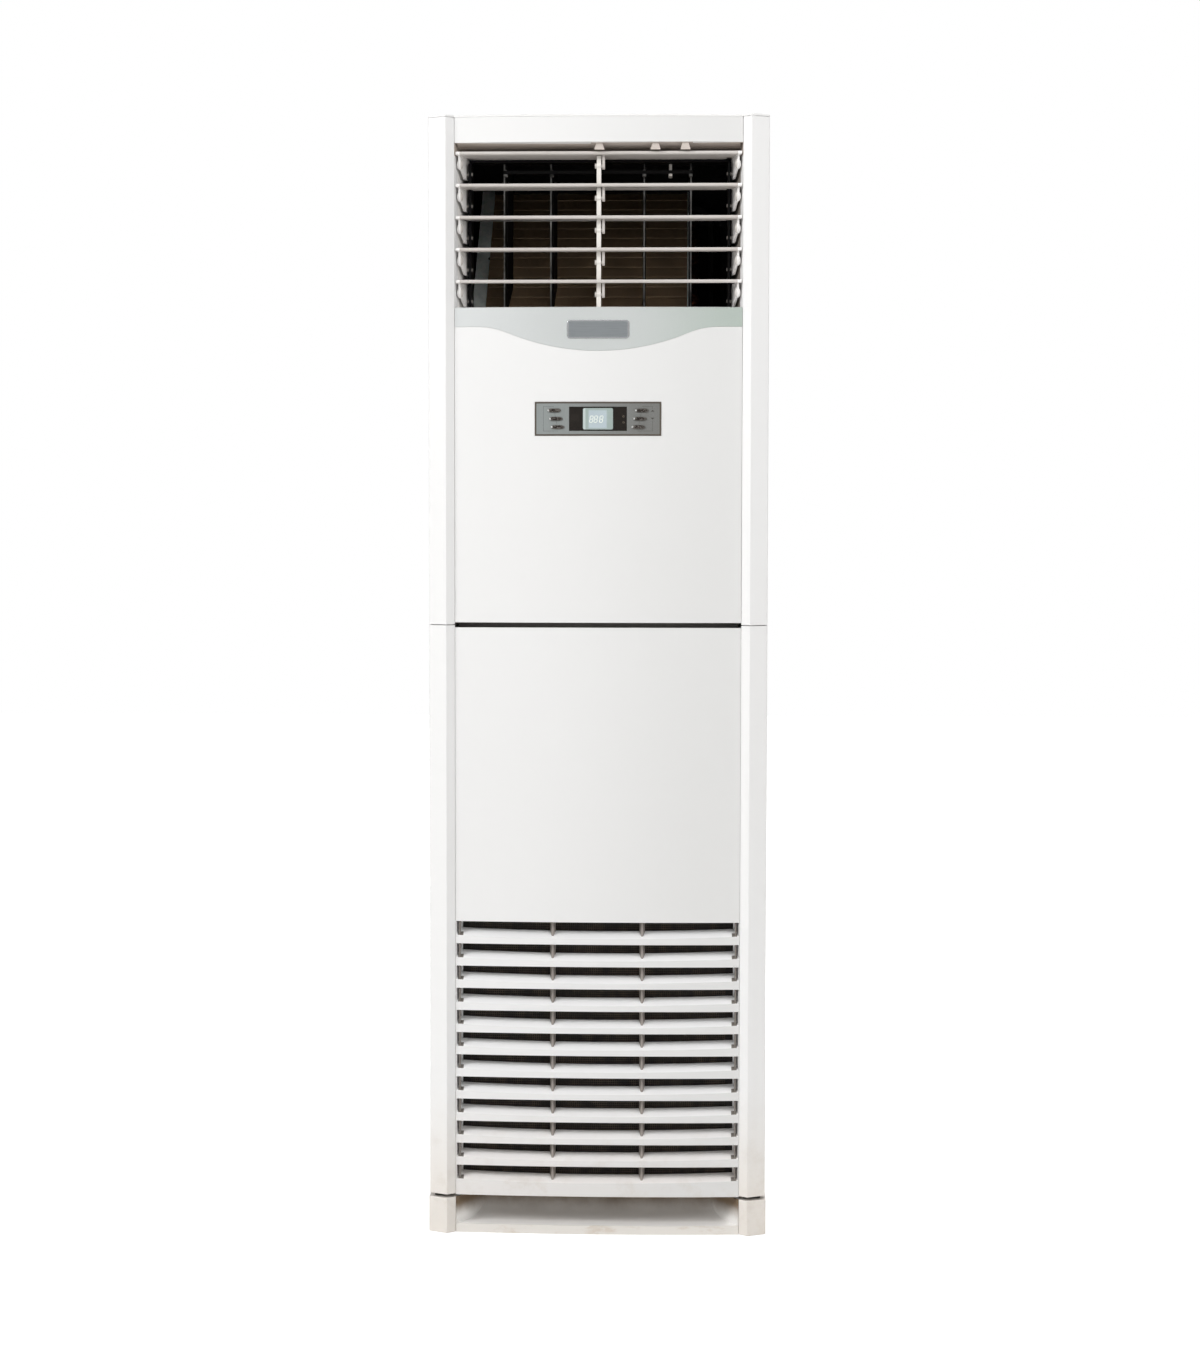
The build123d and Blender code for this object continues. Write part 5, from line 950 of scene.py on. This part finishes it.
def display_digits():
    """Three pale slanting seven-segment eights on the display's face."""
    wide, tall, thick = DIGIT_SIZE
    shape = bmesh.new()
    for middle in DIGIT_MIDDLES:
        for across, up, level in SEGMENTS:
            half = (wide if level else tall) / 2 - SEGMENT_GAP
            end = thick / 2
            ring = [(-half, 0), (-half + end, end), (half - end, end), (half, 0), (half - end, -end),
                    (-half + end, -end)]
            corners = []
            for a, b in ring:
                dx, dz = (a, b) if level else (b, a)
                z = up * tall + dz
                x = middle + across * wide + dx + DIGIT_SLANT * z
                corners.append(shape.verts.new((x * MM, DIGIT_Y * MM, (CONTROL_Z - DIGIT_DROP + z) * MM)))
            shape.faces.new(corners)
    for face in shape.faces:
        face.normal_update()
        if face.normal.y > 0:
            face.normal_flip()
    piece = solid("display_digits", shape)
    wall = piece.modifiers.new("thick", "SOLIDIFY")
    wall.thickness = DIGIT_THICK * MM
    wall.offset = 0
    settle(piece)
    glow = Paint("digit_glow", Emission_Strength=0.2)
    fleck = glow.noise(900.0, 1.0)
    tone = glow.mix(linear(216, 222, 214), linear(230, 234, 226), fleck)
    material = glow.surface(tone, 0.3 + fleck * 0.1, glow=tone, height=fleck, depth=0.000005)
    return wear(piece, "cabinet", "lcd", material)


fin_stack()
fin_rails()
filter_weave()
rear_screws()
display_digits()


# ---- floor, light and camera ----
def floor():
    """Plain pale floor: white to the camera where it is open, shaded by the cabinet."""
    shape = bmesh.new()
    bmesh.ops.create_grid(shape, x_segments=1, y_segments=1, size=12.0)
    ground = solid("floor", shape)
    material = bpy.data.materials.new("pale_floor")
    material.use_nodes = True
    tree = material.node_tree
    shader = tree.nodes["Principled BSDF"]
    shader.inputs["Roughness"].default_value = 0.9
    shader.inputs["Specular IOR Level"].default_value = 0.0
    shader.inputs["Emission Color"].default_value = (1, 1, 1, 1)
    rays = tree.nodes.new("ShaderNodeLightPath")
    pale = tree.nodes.new("ShaderNodeMix")
    pale.data_type = "RGBA"
    pale.inputs[6].default_value = (0.8, 0.79, 0.77, 1)
    pale.inputs[7].default_value = (0.5, 0.5, 0.5, 1)
    place = tree.nodes.new("ShaderNodeTexCoord")
    away = tree.nodes.new("ShaderNodeVectorMath")
    away.operation = "LENGTH"
    far = tree.nodes.new("ShaderNodeMapRange")
    far.interpolation_type = "SMOOTHSTEP"
    ends = {"From Min": FLOOR_SHADED, "From Max": FLOOR_OPEN, "To Min": 0.74, "To Max": 1.0}
    for end, value in ends.items():
        far.inputs[end].default_value = value
    lift = tree.nodes.new("ShaderNodeMath")
    lift.operation = "MULTIPLY"
    tree.links.new(place.outputs["Object"], away.inputs[0])
    tree.links.new(away.outputs["Value"], far.inputs["Value"])
    tree.links.new(far.outputs["Result"], lift.inputs[1])
    for socket in (pale.inputs[0], lift.inputs[0]):
        tree.links.new(rays.outputs["Is Camera Ray"], socket)
    tree.links.new(pale.outputs[2], shader.inputs["Base Color"])
    tree.links.new(lift.outputs[0], shader.inputs["Emission Strength"])
    ground.data.materials.append(material)


def daylight(ambient):
    """Even studio light: white to the camera and to transmission rays, softer as a lamp."""
    world = bpy.data.worlds.new("studio")
    bpy.context.scene.world = world
    world.use_nodes = True
    tree = world.node_tree
    back = tree.nodes["Background"]
    back.inputs["Color"].default_value = (1, 1, 1, 1)
    rays = tree.nodes.new("ShaderNodeLightPath")
    shown = tree.nodes.new("ShaderNodeMath")
    shown.operation = "MAXIMUM"
    tree.links.new(rays.outputs["Is Camera Ray"], shown.inputs[0])
    tree.links.new(rays.outputs["Is Transmission Ray"], shown.inputs[1])
    level = tree.nodes.new("ShaderNodeMapRange")
    level.inputs["To Min"].default_value = ambient
    level.inputs["To Max"].default_value = 1.0
    tree.links.new(shown.outputs[0], level.inputs["Value"])
    tree.links.new(level.outputs[0], back.inputs["Strength"])


def soft_box(name, place, aim, width, height, watts, mirrored=True):
    """Rectangular lamp that faces a point; without a mirror image when it only fills."""
    lamp = bpy.data.lights.new(name, "AREA")
    lamp.shape = "RECTANGLE"
    lamp.size = width
    lamp.size_y = height
    lamp.energy = watts
    holder = bpy.data.objects.new(name, lamp)
    holder.location = place
    holder.rotation_euler = (Vector(aim) - Vector(place)).to_track_quat("-Z", "Y").to_euler()
    holder.visible_camera = False
    holder.visible_glossy = mirrored
    bpy.context.scene.collection.objects.link(holder)


def camera():
    """Camera at the photograph's viewpoint: its place, aim and lens."""
    lens = bpy.data.cameras.new("camera")
    lens.sensor_fit = "VERTICAL"
    lens.sensor_height = SENSOR_HEIGHT
    lens.lens = SENSOR_HEIGHT * FOCAL_PIXELS / PICTURE_HEIGHT
    lens.clip_end = 60
    holder = bpy.data.objects.new("camera", lens)
    holder.location = CAMERA_PLACE
    turn = Matrix.Rotation(radians(CAMERA_TURN), 4, "Z") @ Matrix.Rotation(radians(90 - CAMERA_DROP), 4, "X")
    holder.rotation_euler = (turn @ Matrix.Rotation(radians(CAMERA_ROLL), 4, "Z")).to_euler()
    bpy.context.scene.collection.objects.link(holder)
    bpy.context.scene.camera = holder


floor()
daylight(0.3)
soft_box("key", (-4.6, -3.2, 4.2), (0, 0, 0.9), 2.0, 2.0, 220)
soft_box("fill", (2.6, -4.4, 4.4), (0, 0, 0.9), 2.0, 2.0, 68, mirrored=False)
soft_box("upper", (2.2, -1.6, 1.9), (0, 0, 1.6), 0.6, 0.6, 12, mirrored=False)
soft_box("rear", (1.4, 4.6, 3.4), (0, 0, 0.9), 2.0, 2.0, 130, mirrored=False)
soft_box("top", (0.2, -2.2, 5.0), (0, 0, 0.8), 2.4, 2.4, 34)
camera()
bpy.context.scene.view_settings.view_transform = "Standard"
